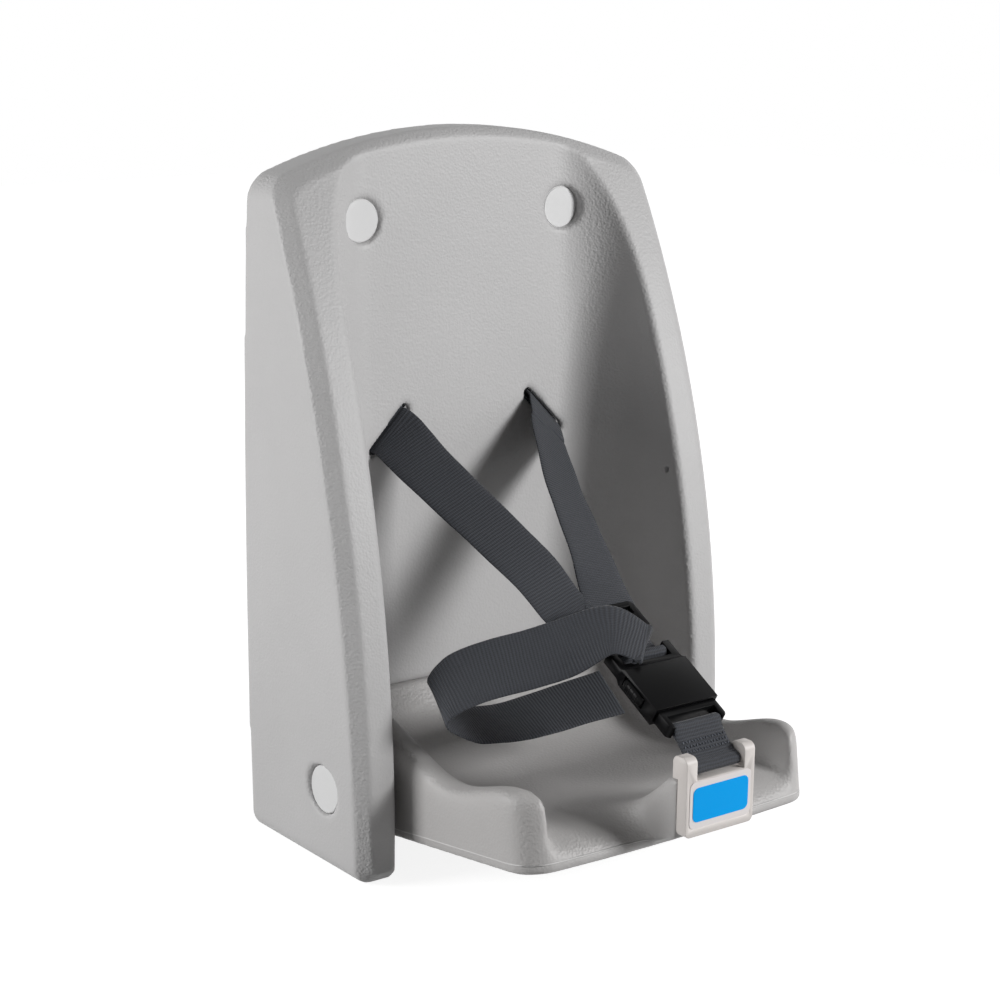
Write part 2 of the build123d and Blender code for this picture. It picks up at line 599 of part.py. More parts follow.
# Bushes pressed into the pan, clips on the rod's ends and the covers over them
for sign, word in ((-1, "left"), (1, "right")):
    with BuildPart() as bush:
        with BuildSketch(Plane.YZ.offset(sign * (PAN_HALF_WIDTH - BUSH_SLEEVE))):
            with Locations(side(HINGE_DEPTH, HINGE_HEIGHT)):
                Circle(bush_radius)
        extrude(amount=sign * BUSH_SLEEVE)
        with BuildSketch(Plane.YZ.offset(sign * PAN_HALF_WIDTH)):
            with Locations(side(HINGE_DEPTH, HINGE_HEIGHT)):
                Circle(BUSH_FLANGE_RADIUS)
        extrude(amount=sign * (POCKET_HALF_WIDTH - PAN_HALF_WIDTH - BUSH_SIDE_GAP))
        with BuildSketch(Plane.YZ):
            with Locations(side(HINGE_DEPTH, HINGE_HEIGHT)):
                Circle(ROD_RADIUS + ROD_RUNNING_GAP)
        extrude(amount=SHELL_WIDTH, both=True, mode=Mode.SUBTRACT)
    bush.part.label = f"{word}_hinge_bush"
    export_step(bush.part, f"parts/{word}_hinge_bush.step")

    with BuildPart() as rod_clip:
        with BuildSketch(Plane.YZ.offset(sign * side_recess_floor)):
            with Locations(side(HINGE_DEPTH, HINGE_HEIGHT)):
                Circle(ROD_CLIP_RADIUS)
                Circle(ROD_RADIUS + ROD_RUNNING_GAP, mode=Mode.SUBTRACT)
        extrude(amount=sign * ROD_CLIP_THICKNESS)
    rod_clip.part.label = f"{word}_rod_clip"
    export_step(rod_clip.part, f"parts/{word}_rod_clip.step")

    with BuildPart() as wing_cap:
        with BuildSketch(Plane.YZ.offset(sign * (foot_half - SIDE_CAP_SUNK))):
            with Locations(side(HINGE_DEPTH, HINGE_HEIGHT)):
                Circle(SIDE_CAP_RADIUS)
        extrude(amount=-sign * SIDE_CAP_THICKNESS)
        with BuildSketch(Plane.YZ.offset(sign * side_recess_floor)):
            with Locations(side(HINGE_DEPTH, HINGE_HEIGHT)):
                Circle(SIDE_CAP_RADIUS)
                Circle(SIDE_CAP_RADIUS - SIDE_CAP_THICKNESS, mode=Mode.SUBTRACT)
        extrude(amount=sign * (SIDE_RECESS_DEPTH - SIDE_CAP_SUNK - SIDE_CAP_THICKNESS / 2))
        chamfer(faces().sort_by(Axis.X)[-1 if sign > 0 else 0].edges(), CAP_EDGE_BEVEL)
    wing_cap.part.label = f"{word}_wing_cap"
    export_step(wing_cap.part, f"parts/{word}_wing_cap.step")

    with BuildPart() as screw_cap:
        with BuildSketch(Plane.XZ.offset(cap_seat_depth)):
            with Locations((sign * HOLE_SPACING_X / 2, at(UPPER_HOLE_HEIGHT))):
                Circle(CAP_RADIUS)
        extrude(amount=CAP_THICKNESS)
        chamfer(faces().sort_by(Axis.Y)[0].edges(), CAP_EDGE_BEVEL)
        with BuildSketch(Plane.XZ.offset(cap_seat_depth)):
            with Locations((sign * HOLE_SPACING_X / 2, at(UPPER_HOLE_HEIGHT))):
                Circle(SCREW_RECESS_RADIUS - CAP_GAP)
                Circle(SCREW_RECESS_RADIUS - CAP_GAP - CAP_THICKNESS / 2, mode=Mode.SUBTRACT)
        extrude(amount=-CAP_PLUG_LENGTH)
    screw_cap.part.label = f"{word}_screw_cap"
    export_step(screw_cap.part, f"parts/{word}_screw_cap.step")

# Front cover of the post, with two ears that keep the crotch strap between them
cover_half = POST_HALF_WIDTH
ear_back_depth = COVER_FRONT_DEPTH - EAR_LENGTH
with BuildPart() as post_cover:
    with BuildSketch(Plane.XZ.offset(COVER_BACK_DEPTH)):
        with Locations((0, at((COVER_FOOT_HEIGHT + COVER_TOP_HEIGHT) / 2))):
            RectangleRounded(cover_half * 2, COVER_TOP_HEIGHT - COVER_FOOT_HEIGHT, LABEL_CORNER_RADIUS)
    extrude(amount=COVER_FRONT_DEPTH - COVER_BACK_DEPTH)
    with BuildSketch(Plane.XZ.offset(POST_FRONT_DEPTH)):
        with Locations((0, at((COVER_FOOT_HEIGHT + COVER_TOP_HEIGHT) / 2))):
            Rectangle(EAR_GAP, COVER_TOP_HEIGHT - COVER_FOOT_HEIGHT - SPIGOT_MARGIN * 2)
    extrude(amount=COVER_GROOVE)
    with BuildSketch(Plane.YZ):
        with BuildLine():
            Polyline(
                side(COVER_FRONT_DEPTH, LABEL_CENTRE_HEIGHT),
                side(COVER_FRONT_DEPTH, EAR_TOP_HEIGHT),
                side(ear_back_depth, EAR_TOP_HEIGHT),
                side(ear_back_depth, COVER_TOP_HEIGHT),
                side(COVER_BACK_DEPTH, COVER_TOP_HEIGHT),
                side(COVER_BACK_DEPTH, LABEL_CENTRE_HEIGHT),
                close=True,
            )
        make_face()
        fillet(vertices().group_by(Axis.Y)[-1], EAR_RADIUS)
    extrude(amount=cover_half, both=True)
    with BuildSketch(Plane.XZ.offset(POST_BACK_DEPTH)):
        with BuildLine():
            Polyline(
                (-EAR_GAP / 2, at(COVER_TOP_HEIGHT)),
                (EAR_GAP / 2, at(COVER_TOP_HEIGHT)),
                (EAR_GAP / 2, at(EAR_TOP_HEIGHT + OVERRUN)),
                (-EAR_GAP / 2, at(EAR_TOP_HEIGHT + OVERRUN)),
                close=True,
            )
        make_face()
    extrude(amount=COVER_FRONT_DEPTH, mode=Mode.SUBTRACT)
    with BuildSketch(Plane.XZ.offset(COVER_FRONT_DEPTH - LABEL_INLAY)):
        with Locations((0, at(LABEL_CENTRE_HEIGHT))):
            RectangleRounded(LABEL_WIDTH, LABEL_HEIGHT, LABEL_CORNER_RADIUS)
    extrude(amount=LABEL_THICKNESS, mode=Mode.SUBTRACT)
    with BuildSketch(Plane.YZ):
        with Locations(side(PIN_DEPTH, PIN_HEIGHT)):
            Circle(PIN_RADIUS)
    extrude(amount=EAR_GAP / 2 + PIN_SEAT_LENGTH, both=True, mode=Mode.SUBTRACT)
post_cover.part.label = "post_cover"
export_step(post_cover.part, "parts/post_cover.step")
print("post_cover", post_cover.part.volume, len(post_cover.part.solids()))

with BuildPart() as label_plate:
    with BuildSketch(Plane.XZ.offset(COVER_FRONT_DEPTH - LABEL_INLAY)):
        with Locations((0, at(LABEL_CENTRE_HEIGHT))):
            RectangleRounded(LABEL_WIDTH, LABEL_HEIGHT, LABEL_CORNER_RADIUS)
    extrude(amount=LABEL_THICKNESS)
label_plate.part.label = "label_plate"
export_step(label_plate.part, "parts/label_plate.step")

with BuildPart() as label_field:
    with BuildSketch(Plane.XZ.offset(COVER_FRONT_DEPTH - LABEL_INLAY + LABEL_THICKNESS)):
        with Locations((0, at(LABEL_CENTRE_HEIGHT))):
            RectangleRounded(LABEL_FIELD_WIDTH, LABEL_FIELD_HEIGHT, LABEL_CORNER_RADIUS)
    extrude(amount=LABEL_FIELD_THICKNESS)
label_field.part.label = "label_field"
export_step(label_field.part, "parts/label_field.step")

with BuildPart() as crotch_pin:
    with BuildSketch(Plane.YZ):
        with Locations(side(PIN_DEPTH, PIN_HEIGHT)):
            Circle(PIN_RADIUS)
    extrude(amount=EAR_GAP / 2 + PIN_SEAT_LENGTH, both=True)
crotch_pin.part.label = "crotch_pin"
export_step(crotch_pin.part, "parts/crotch_pin.step")

# Planes of the buckle: its side profile runs up along the strap, its plan lies in the strap
line_sin = sin(radians(BUCKLE_TILT))
line_cos = cos(radians(BUCKLE_TILT))
buckle_origin = (0, -BUCKLE_DEPTH, at(BUCKLE_HEIGHT))
BUCKLE_SIDE = Plane(origin=buckle_origin, x_dir=(0, line_cos, line_sin), z_dir=(1, 0, 0))
BUCKLE_PLAN = Plane(origin=buckle_origin, x_dir=(1, 0, 0), z_dir=(0, -line_sin, line_cos))
pin_rise = PIN_HEIGHT - BUCKLE_HEIGHT
pin_back = BUCKLE_DEPTH - PIN_DEPTH
pin_point = (pin_back * line_cos + pin_rise * line_sin, pin_rise * line_cos - pin_back * line_sin)

# Crotch strap: a sewn loop round the pin and the insert's bar
eye_pin = PIN_RADIUS + ROD_RUNNING_GAP
eye_bar = INSERT_BAR_RADIUS + ROD_RUNNING_GAP
with BuildPart() as crotch_strap:
    with BuildSketch(BUCKLE_SIDE):
        with BuildSketch(mode=Mode.PRIVATE) as outer_loop:
            with Locations(pin_point):
                Circle(eye_pin + WEB_THICKNESS)
            with Locations((INSERT_BAR_PLACE, 0)):
                Circle(eye_bar + WEB_THICKNESS)
            make_hull()
        with BuildSketch(mode=Mode.PRIVATE) as inner_loop:
            with Locations(pin_point):
                Circle(eye_pin)
            with Locations((INSERT_BAR_PLACE, 0)):
                Circle(eye_bar)
            make_hull()
        add(outer_loop.sketch)
        add(inner_loop.sketch, mode=Mode.SUBTRACT)
    extrude(amount=WEB_WIDTH / 2, both=True)
crotch_strap.part.label = "crotch_strap"
export_step(crotch_strap.part, "parts/crotch_strap.step")
print("crotch_strap", crotch_strap.part.volume, len(crotch_strap.part.solids()))

# Buckle insert: a frame with a round bar for the strap, a guide and room for two prongs
slot_half = WEB_WIDTH / 2 + WEB_SLOT_GAP
with BuildPart() as buckle_insert:
    with BuildSketch(BUCKLE_PLAN):
        with BuildLine():
            Polyline(
                (-INSERT_WIDTH / 2, INSERT_START),
                (INSERT_WIDTH / 2, INSERT_START),
                (INSERT_WIDTH / 2, HOUSING_START - BUCKLE_GAP),
                (-INSERT_WIDTH / 2, HOUSING_START - BUCKLE_GAP),
                close=True,
            )
        make_face()
        fillet(vertices().group_by(Axis.Y)[0], GLIDE_CORNER_RADIUS)
    extrude(amount=INSERT_THICKNESS / 2, both=True)
    with BuildSketch(BUCKLE_PLAN):
        with BuildLine():
            Polyline(
                (-slot_half, INSERT_START - OVERRUN),
                (slot_half, INSERT_START - OVERRUN),
                (slot_half, INSERT_BODY_START),
                (-slot_half, INSERT_BODY_START),
                close=True,
            )
        make_face()
    extrude(amount=INSERT_THICKNESS, both=True, mode=Mode.SUBTRACT)
    with BuildSketch(BUCKLE_SIDE):
        with Locations((INSERT_BAR_PLACE, 0)):
            Circle(INSERT_BAR_RADIUS)
    extrude(amount=slot_half + BUCKLE_GAP, both=True)
    with BuildSketch(BUCKLE_PLAN):
        with Locations((0, (INSERT_BODY_START + GUIDE_END) / 2)):
            Rectangle(GUIDE_WIDTH, GUIDE_END - INSERT_BODY_START)
    extrude(amount=GUIDE_THICKNESS / 2, both=True)
buckle_insert.part.label = "buckle_insert"
export_step(buckle_insert.part, "parts/buckle_insert.step")
print("buckle_insert", buckle_insert.part.volume, len(buckle_insert.part.solids()))

# Latch prongs, squeezed towards each other to let the housing go
for sign, name in ((-1, "left_latch_prong"), (1, "right_latch_prong")):
    with BuildPart() as prong:
        with BuildSketch(BUCKLE_PLAN):
            with BuildLine():
                Polyline(
                    (sign * PRONG_INNER_X, HOUSING_START),
                    (sign * (PRONG_INNER_X + PRONG_ARM_WIDTH), HOUSING_START),
                    (sign * (PRONG_INNER_X + PRONG_ARM_WIDTH), PRONG_HEAD_START - PRONG_ARM_WIDTH),
                    (sign * PRONG_HEAD_OUT, PRONG_HEAD_START),
                    (sign * PRONG_HEAD_OUT, PRONG_HEAD_END - PRONG_ARM_WIDTH * 2),
                    (sign * PRONG_TIP_X, PRONG_HEAD_END),
                    (sign * PRONG_INNER_X, PRONG_HEAD_END),
                    close=True,
                )
            make_face()
        extrude(amount=PRONG_THICKNESS / 2, both=True)
    prong.part.label = name
    export_step(prong.part, f"parts/{name}.step")
    print(name, prong.part.volume, len(prong.part.solids()))

# Buckle housing: a hollow body with a window in each side and a strap frame at its upper end
with BuildPart() as buckle_housing:
    with BuildSketch(BUCKLE_SIDE):
        with BuildLine():
            Polyline(
                (HOUSING_START, -HOUSING_THICKNESS / 2),
                (HOUSING_START, HOUSING_THICKNESS / 2),
                (CAVITY_END, HOUSING_THICKNESS / 2),
                (TAIL_FRAME_START, TAIL_FRAME_THICKNESS / 2),
                (HOUSING_END, TAIL_FRAME_THICKNESS / 2),
                (HOUSING_END, -TAIL_FRAME_THICKNESS / 2),
                (TAIL_FRAME_START, -TAIL_FRAME_THICKNESS / 2),
                (CAVITY_END, -HOUSING_THICKNESS / 2),
                close=True,
            )
        make_face()
    extrude(amount=HOUSING_WIDTH / 2, both=True)
    with BuildSketch(BUCKLE_PLAN):
        with Locations((0, (HOUSING_START + CAVITY_END) / 2 - OVERRUN / 2)):
            Rectangle(HOUSING_WIDTH - HOUSING_WALL * 2, CAVITY_END - HOUSING_START + OVERRUN)
    extrude(amount=HOUSING_THICKNESS / 2 - HOUSING_WALL, both=True, mode=Mode.SUBTRACT)
    with BuildSketch(BUCKLE_PLAN):
        with Locations((0, (SIDE_WINDOW_START + SIDE_WINDOW_END) / 2)):
            Rectangle(HOUSING_WIDTH + OVERRUN, SIDE_WINDOW_END - SIDE_WINDOW_START)
    extrude(amount=HOUSING_THICKNESS / 2 - HOUSING_WALL, both=True, mode=Mode.SUBTRACT)
    with BuildSketch(BUCKLE_PLAN):
        with Locations((0, (FRAME_WINDOW_START + HOUSING_END + OVERRUN) / 2)):
            Rectangle(slot_half * 2, HOUSING_END + OVERRUN - FRAME_WINDOW_START)
    extrude(amount=HOUSING_THICKNESS, both=True, mode=Mode.SUBTRACT)
    with BuildSketch(BUCKLE_SIDE):
        with Locations((FRAME_BAR_PLACE, 0)):
            Circle(FRAME_BAR_RADIUS)
    extrude(amount=slot_half + BUCKLE_GAP, both=True)
buckle_housing.part.label = "buckle_housing"
export_step(buckle_housing.part, "parts/buckle_housing.step")
print("buckle_housing", buckle_housing.part.volume, len(buckle_housing.part.solids()))

# Short strap from the housing's bar up under the slide
frame_eye = FRAME_BAR_RADIUS + ROD_RUNNING_GAP
with BuildPart() as adjusting_strap:
    with BuildSketch(BUCKLE_SIDE):
        with Locations((FRAME_BAR_PLACE, 0)):
            Circle(frame_eye + WEB_THICKNESS)
        with BuildLine():
            Polyline(
                (FRAME_BAR_PLACE, -frame_eye),
                (WEB_END, -frame_eye),
                (WEB_END, -frame_eye - WEB_THICKNESS),
                (FRAME_BAR_PLACE, -frame_eye - WEB_THICKNESS),
                close=True,
            )
        make_face()
        with Locations((FRAME_BAR_PLACE, 0)):
            Circle(frame_eye, mode=Mode.SUBTRACT)
    extrude(amount=WEB_WIDTH / 2, both=True)
adjusting_strap.part.label = "adjusting_strap"
export_step(adjusting_strap.part, "parts/adjusting_strap.step")
print("adjusting_strap", adjusting_strap.part.volume, len(adjusting_strap.part.solids()))

# Three bar slide
with BuildPart() as strap_slide:
    with BuildSketch(BUCKLE_PLAN):
        with Locations((0, GLIDE_PLACE)):
            RectangleRounded(GLIDE_WIDTH, GLIDE_LENGTH, GLIDE_CORNER_RADIUS)
            with GridLocations(0, GLIDE_WINDOW + GLIDE_BAR, 1, 2):
                Rectangle(slot_half * 2, GLIDE_WINDOW, mode=Mode.SUBTRACT)
    extrude(amount=GLIDE_THICKNESS / 2, both=True)
strap_slide.part.label = "strap_slide"
export_step(strap_slide.part, "parts/strap_slide.step")


def strap_plane(centre, along, across):
    """Plane square to a strap, with its x along the strap's width."""
    run = Vector(along).normalized()
    width = Vector(across)
    width = (width - run * width.dot(run)).normalized()
    return Plane(origin=centre, x_dir=width, z_dir=run)


# Shoulder straps from the anchor rods through the slots to the slide
loop_radius = ANCHOR_ROD_RADIUS + ANCHOR_GAP + WEB_THICKNESS
anchor_depth = slot_skin_back - sqrt((loop_radius + BUCKLE_GAP) ** 2 - (SLOT_WIDTH / 2) ** 2)
slot_cos = cos(radians(SLOT_ANGLE))
slot_sin = sin(radians(SLOT_ANGLE))
for sign, word in ((-1, "left"), (1, "right")):
    slot_point = Vector(sign * SLOT_CENTRE_X, -panel_depth(SLOT_CENTRE_HEIGHT), at(SLOT_CENTRE_HEIGHT))
    slot_way = (sign * slot_cos, 0, -slot_sin)
    anchor_point = (sign * SLOT_CENTRE_X, -anchor_depth, at(SLOT_CENTRE_HEIGHT))
    layer = GLIDE_THICKNESS / 2 + BUCKLE_GAP + WEB_THICKNESS / 2
    layer += max(sign, 0) * (WEB_THICKNESS + STRAP_LAYER_GAP)
    strap_end = BUCKLE_SIDE.from_local_coords((STRAP_END_PLACE, layer, 0))
    meet = BUCKLE_SIDE.from_local_coords((WEB_END, layer, 0))
    bend = slot_point + Vector(0, -STRAP_BEND_DEPTH, -STRAP_BEND_DROP)
    run = meet - bend
    start = Vector(slot_point.X, -anchor_depth - loop_radius + WEB_THICKNESS / 2, slot_point.Z)
    stations = [
        strap_plane(start, (0, -1, 0), slot_way),
        strap_plane(slot_point, (0, -1, 0), slot_way),
        strap_plane(bend, run, slot_way),
    ]
    for share in STRAP_TURN_SHARES:
        turn = min(1, share / STRAP_TURN_SHARES[-2])
        across = Vector(slot_way) * (1 - turn) + Vector(sign, 0, 0) * turn
        stations.append(strap_plane(bend + run * share, run, across))
    stations.append(strap_plane(meet, (strap_end - meet), (sign, 0, 0)))
    stations.append(strap_plane(strap_end, (strap_end - meet), (sign, 0, 0)))
    with BuildPart() as shoulder_strap:
        for low, high in zip(stations, stations[1:]):
            for station in (low, high):
                with BuildSketch(station):
                    Rectangle(WEB_WIDTH, WEB_THICKNESS)
            loft(ruled=True)
        with BuildSketch(Plane(origin=anchor_point, z_dir=slot_way)):
            Circle(loop_radius)
            Circle(loop_radius - WEB_THICKNESS, mode=Mode.SUBTRACT)
        extrude(amount=WEB_WIDTH / 2, both=True)
    shoulder_strap.part.label = f"{word}_shoulder_strap"
    export_step(shoulder_strap.part, f"parts/{word}_shoulder_strap.step")
    print(word, "strap", shoulder_strap.part.volume, len(shoulder_strap.part.solids()))

    with BuildPart() as anchor_rod:
        with BuildSketch(Plane(origin=anchor_point, z_dir=slot_way)):
            Circle(ANCHOR_ROD_RADIUS)
        extrude(amount=ANCHOR_ROD_LENGTH / 2, both=True)
    anchor_rod.part.label = f"{word}_anchor_rod"
    export_step(anchor_rod.part, f"parts/{word}_anchor_rod.step")

# Loose end of the adjusting strap: over the slide, out to the left and folded back to the right
tail_layer = GLIDE_THICKNESS / 2 + BUCKLE_GAP * 2 + WEB_THICKNESS * 2.5 + STRAP_LAYER_GAP + TAIL_LIFT
tail_rise = (0, line_cos, line_sin)
over_slide = BUCKLE_SIDE.from_local_coords((GLIDE_PLACE, tail_layer, 0))
tail_stations = [
    strap_plane(over_slide + Vector(GLIDE_WIDTH / 2, 0, 0), (-1, 0, 0), tail_rise),
    strap_plane(over_slide - Vector(GLIDE_WIDTH / 2, 0, 0), (-1, 0, 0), tail_rise),
]
for place, along, across in TAIL_ROUTE:
    centre = (place[0], -place[1], at(place[2]))
    tail_stations.append(strap_plane(centre, along, across))
with BuildPart() as strap_tail:
    for low, high in zip(tail_stations, tail_stations[1:]):
        for station in (low, high):
            with BuildSketch(station):
                Rectangle(WEB_WIDTH, WEB_THICKNESS)
        loft(ruled=True)
strap_tail.part.label = "strap_tail"
export_step(strap_tail.part, "parts/strap_tail.step")
print("strap_tail", strap_tail.part.volume, len(strap_tail.part.solids()))
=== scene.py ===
import logging
from dataclasses import dataclass
from enum import Enum
from math import copysign, cos, pi, radians, sin
from typing import Any, Optional, Sequence, Union

import bmesh
import bpy
from mathutils import Matrix, Vector


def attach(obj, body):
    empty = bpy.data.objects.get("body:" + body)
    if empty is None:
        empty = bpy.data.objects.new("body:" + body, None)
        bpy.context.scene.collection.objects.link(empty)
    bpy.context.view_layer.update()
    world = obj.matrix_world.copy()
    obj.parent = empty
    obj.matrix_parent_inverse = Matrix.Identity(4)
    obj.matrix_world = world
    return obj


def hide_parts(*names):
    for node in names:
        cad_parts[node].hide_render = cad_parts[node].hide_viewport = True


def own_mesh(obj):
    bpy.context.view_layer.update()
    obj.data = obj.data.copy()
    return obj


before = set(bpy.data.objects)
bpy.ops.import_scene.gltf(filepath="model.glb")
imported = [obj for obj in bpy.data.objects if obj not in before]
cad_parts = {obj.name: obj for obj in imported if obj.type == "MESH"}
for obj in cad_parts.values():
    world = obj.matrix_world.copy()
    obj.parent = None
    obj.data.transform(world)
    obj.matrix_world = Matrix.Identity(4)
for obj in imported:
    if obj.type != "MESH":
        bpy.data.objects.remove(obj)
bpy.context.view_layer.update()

logging.basicConfig(level=logging.INFO, format="%(message)s")
log = logging.getLogger("child_seat")

Pair = tuple[float, float]
Triple = tuple[float, float, float]
Row = tuple[Pair, ...]
Route = tuple[tuple[Triple, Triple], ...]
Piece = bpy.types.Object
Tree = bpy.types.NodeTree
Socket = bpy.types.NodeSocket

MM = 0.001
FOOT_HEIGHT = -212.75  # the shell's bottom edge in the frame, in millimetres
SETTLING_SHARE = 0.5  # how far a settling point goes towards the middle of its neighbours
WHITE = (1.0, 1.0, 1.0, 1.0)


class Side(Enum):
    """Which side of the seat a piece is on, seen from the front."""

    LEFT = -1
    RIGHT = 1


def place(x: float, depth: float, height: float) -> Vector:
    """Turns seat sizes into a point of the frame.

    Args:
        x: Distance to the right of the middle, in millimetres.
        depth: Distance off the wall, in millimetres.
        height: Height above the shell's bottom edge, in millimetres.

    Returns:
        The point in metres.
    """
    return Vector((x, -depth, height + FOOT_HEIGHT)) * MM


def direction(x: float, depth: float, height: float) -> Vector:
    """Turns seat directions into a unit vector of the frame.

    Args:
        x: Part to the right.
        depth: Part away from the wall.
        height: Part upwards.

    Returns:
        The unit vector.
    """
    return Vector((x, -depth, height)).normalized()


def ramp(value: float, low: float, high: float) -> float:
    """Rises smoothly from 0 to 1 between two values.

    Args:
        value: The value to judge.
        low: Where the rise starts.
        high: Where it ends.

    Returns:
        A share from 0 to 1.
    """
    share = min(1.0, max(0.0, (value - low) / (high - low)))
    return share * share * (3 - 2 * share)


def linear(code: str) -> tuple[float, float, float, float]:
    """Turns an sRGB hex colour into the linear colour that the nodes use.

    Args:
        code: Six hex digits after a hash.

    Returns:
        Linear red, green and blue, and an alpha of 1.
    """
    parts = [int(code[i:i + 2], 16) / 255 for i in (1, 3, 5)]
    red, green, blue = (
        p / 12.92 if p <= 0.04045 else ((p + 0.055) / 1.055) ** 2.4 for p in parts
    )
    return red, green, blue, 1.0


def feed(tree: Tree, node: bpy.types.Node, inputs: dict[Union[str, int], Any]) -> None:
    """Sets a node's inputs, and links those that another node feeds.

    Args:
        tree: The node's tree.
        node: The node to feed.
        inputs: A value or another node's output socket, by input name or number.
    """
    for key, value in inputs.items():
        if isinstance(value, Socket):
            tree.links.new(value, node.inputs[key])
        else:
            node.inputs[key].default_value = value


def add_node(
    tree: Tree,
    kind: str,
    settings: Optional[dict[str, Any]] = None,
    inputs: Optional[dict[Union[str, int], Any]] = None,
) -> bpy.types.Node:
    """Adds a node with its settings and links.

    Args:
        tree: The tree that gets the node.
        kind: The node's type name.
        settings: Properties of the node.
        inputs: A value or another node's output socket, by input name or number.

    Returns:
        The new node.
    """
    node = tree.nodes.new(kind)
    for name, value in (settings or {}).items():
        setattr(node, name, value)
    feed(tree, node, inputs or {})
    return node


def new_material(name: str) -> tuple[bpy.types.Material, Tree, bpy.types.Node]:
    """Makes a material with one shader.

    Args:
        name: What the finish is.

    Returns:
        The material, its tree and its shader node.
    """
    material = bpy.data.materials.new(name)
    material.use_nodes = True
    tree = material.node_tree
    tree.nodes.clear()
    shader = add_node(tree, "ShaderNodeBsdfPrincipled")
    add_node(tree, "ShaderNodeOutputMaterial", inputs={"Surface": shader.outputs["BSDF"]})
    return material, tree, shader


@dataclass(frozen=True)
class PartingLine:
    """Fine pale flash where the two halves of a tool met, in one plane of the moulding.

    Its width is in millimetres, and its level in metres along the plane's upright. The rise is
    counted in depths of the grain, and the share says how far its own colour covers the grey.
    """

    upright: Triple
    level: float
    width: float = 0.7
    rise: float = 2.5
    share: float = 0.7
    colour: str = "#e4e3e2"

    def mask(self, tree: Tree, spot: Socket) -> Socket:
        """Finds the line on the surface.

        Args:
            tree: The material's tree.
            spot: Object coordinates.

        Returns:
            A socket that is 1 on the line and 0 off it.
        """
        height = add_node(
            tree, "ShaderNodeVectorMath", {"operation": "DOT_PRODUCT"},
            {0: spot, 1: Vector(self.upright).normalized()},
        )
        above = add_node(
            tree, "ShaderNodeMath", {"operation": "SUBTRACT"},
            {0: height.outputs["Value"], 1: self.level},
        )
        away = add_node(
            tree, "ShaderNodeMath", {"operation": "ABSOLUTE"}, {0: above.outputs["Value"]}
        )
        fade = add_node(
            tree, "ShaderNodeMapRange", {"interpolation_type": "SMOOTHSTEP"},
            {
                "Value": away.outputs["Value"], "From Min": 0.0, "From Max": self.width * MM,
                "To Min": 1.0, "To Max": 0.0,
            },
        )
        return fade.outputs["Result"]


@dataclass(frozen=True)
class GrainedPolyethylene:
    """Polyethylene moulded in a grained tool: matt, pebbled, with a faint cloudiness in the grey.

    The grain is the distance from pebble to pebble. It, its relief and the size of the clouds
    are in millimetres. The clouds' edge is where in their noise the second grey fades in.
    """

    name: str
    colour: str
    cloud: str
    roughness: float = 0.5
    ior: float = 1.5
    grain: float = 1.7
    pebble_softness: float = 0.6
    swells_per_pebble: float = 0.7
    swell_detail: float = 3.0
    relief: float = 0.34
    cloud_size: float = 90.0
    cloud_detail: float = 4.0
    cloud_edge: Pair = (0.3, 0.7)
    parting: Optional[PartingLine] = None

    def material(self) -> bpy.types.Material:
        """Builds the material.

        Returns:
            The material, with its pattern on object coordinates.
        """
        material, tree, shader = new_material(self.name)
        spot = add_node(tree, "ShaderNodeTexCoord").outputs["Object"]
        pebbles = add_node(
            tree, "ShaderNodeTexVoronoi", {"feature": "SMOOTH_F1"},
            {
                "Vector": spot, "Scale": 1 / (self.grain * MM),
                "Smoothness": self.pebble_softness, "Randomness": 1.0,
            },
        )
        swell = add_node(
            tree, "ShaderNodeTexNoise",
            inputs={
                "Vector": spot, "Scale": self.swells_per_pebble / (self.grain * MM),
                "Detail": self.swell_detail,
            },
        )
        height = add_node(
            tree, "ShaderNodeMath", {"operation": "ADD"},
            {0: pebbles.outputs["Distance"], 1: swell.outputs["Fac"]},
        )
        clouds = add_node(
            tree, "ShaderNodeTexNoise",
            inputs={
                "Vector": spot, "Scale": 1 / (self.cloud_size * MM), "Detail": self.cloud_detail,
            },
        )
        patches = add_node(
            tree, "ShaderNodeMapRange",
            inputs={
                "Value": clouds.outputs["Fac"],
                "From Min": self.cloud_edge[0], "From Max": self.cloud_edge[1],
            },
        )
        tint = add_node(
            tree, "ShaderNodeMix", {"data_type": "RGBA"},
            {
                "Factor": patches.outputs["Result"],
                "A": linear(self.colour), "B": linear(self.cloud),
            },
        )
        if self.parting:
            flash = self.parting.mask(tree, spot)
            ridge = add_node(
                tree, "ShaderNodeMath", {"operation": "MULTIPLY"},
                {0: flash, 1: self.parting.rise},
            )
            height = add_node(
                tree, "ShaderNodeMath", {"operation": "ADD"},
                {0: height.outputs["Value"], 1: ridge.outputs["Value"]},
            )
            cover = add_node(
                tree, "ShaderNodeMath", {"operation": "MULTIPLY"},
                {0: flash, 1: self.parting.share},
            )
            tint = add_node(
                tree, "ShaderNodeMix", {"data_type": "RGBA"},
                {
                    "Factor": cover.outputs["Value"],
                    "A": tint.outputs["Result"], "B": linear(self.parting.colour),
                },
            )
        shown = add_node(tree, "ShaderNodeAttribute", {"attribute_name": "grain"})
        bump = add_node(
            tree, "ShaderNodeBump",
            inputs={
                "Height": height.outputs["Value"], "Strength": shown.outputs["Fac"],
                "Distance": self.relief * MM,
            },
        )
        feed(tree, shader, {
            "Base Color": tint.outputs["Result"], "Normal": bump.outputs["Normal"],
            "Roughness": self.roughness, "IOR": self.ior,
        })
        return material


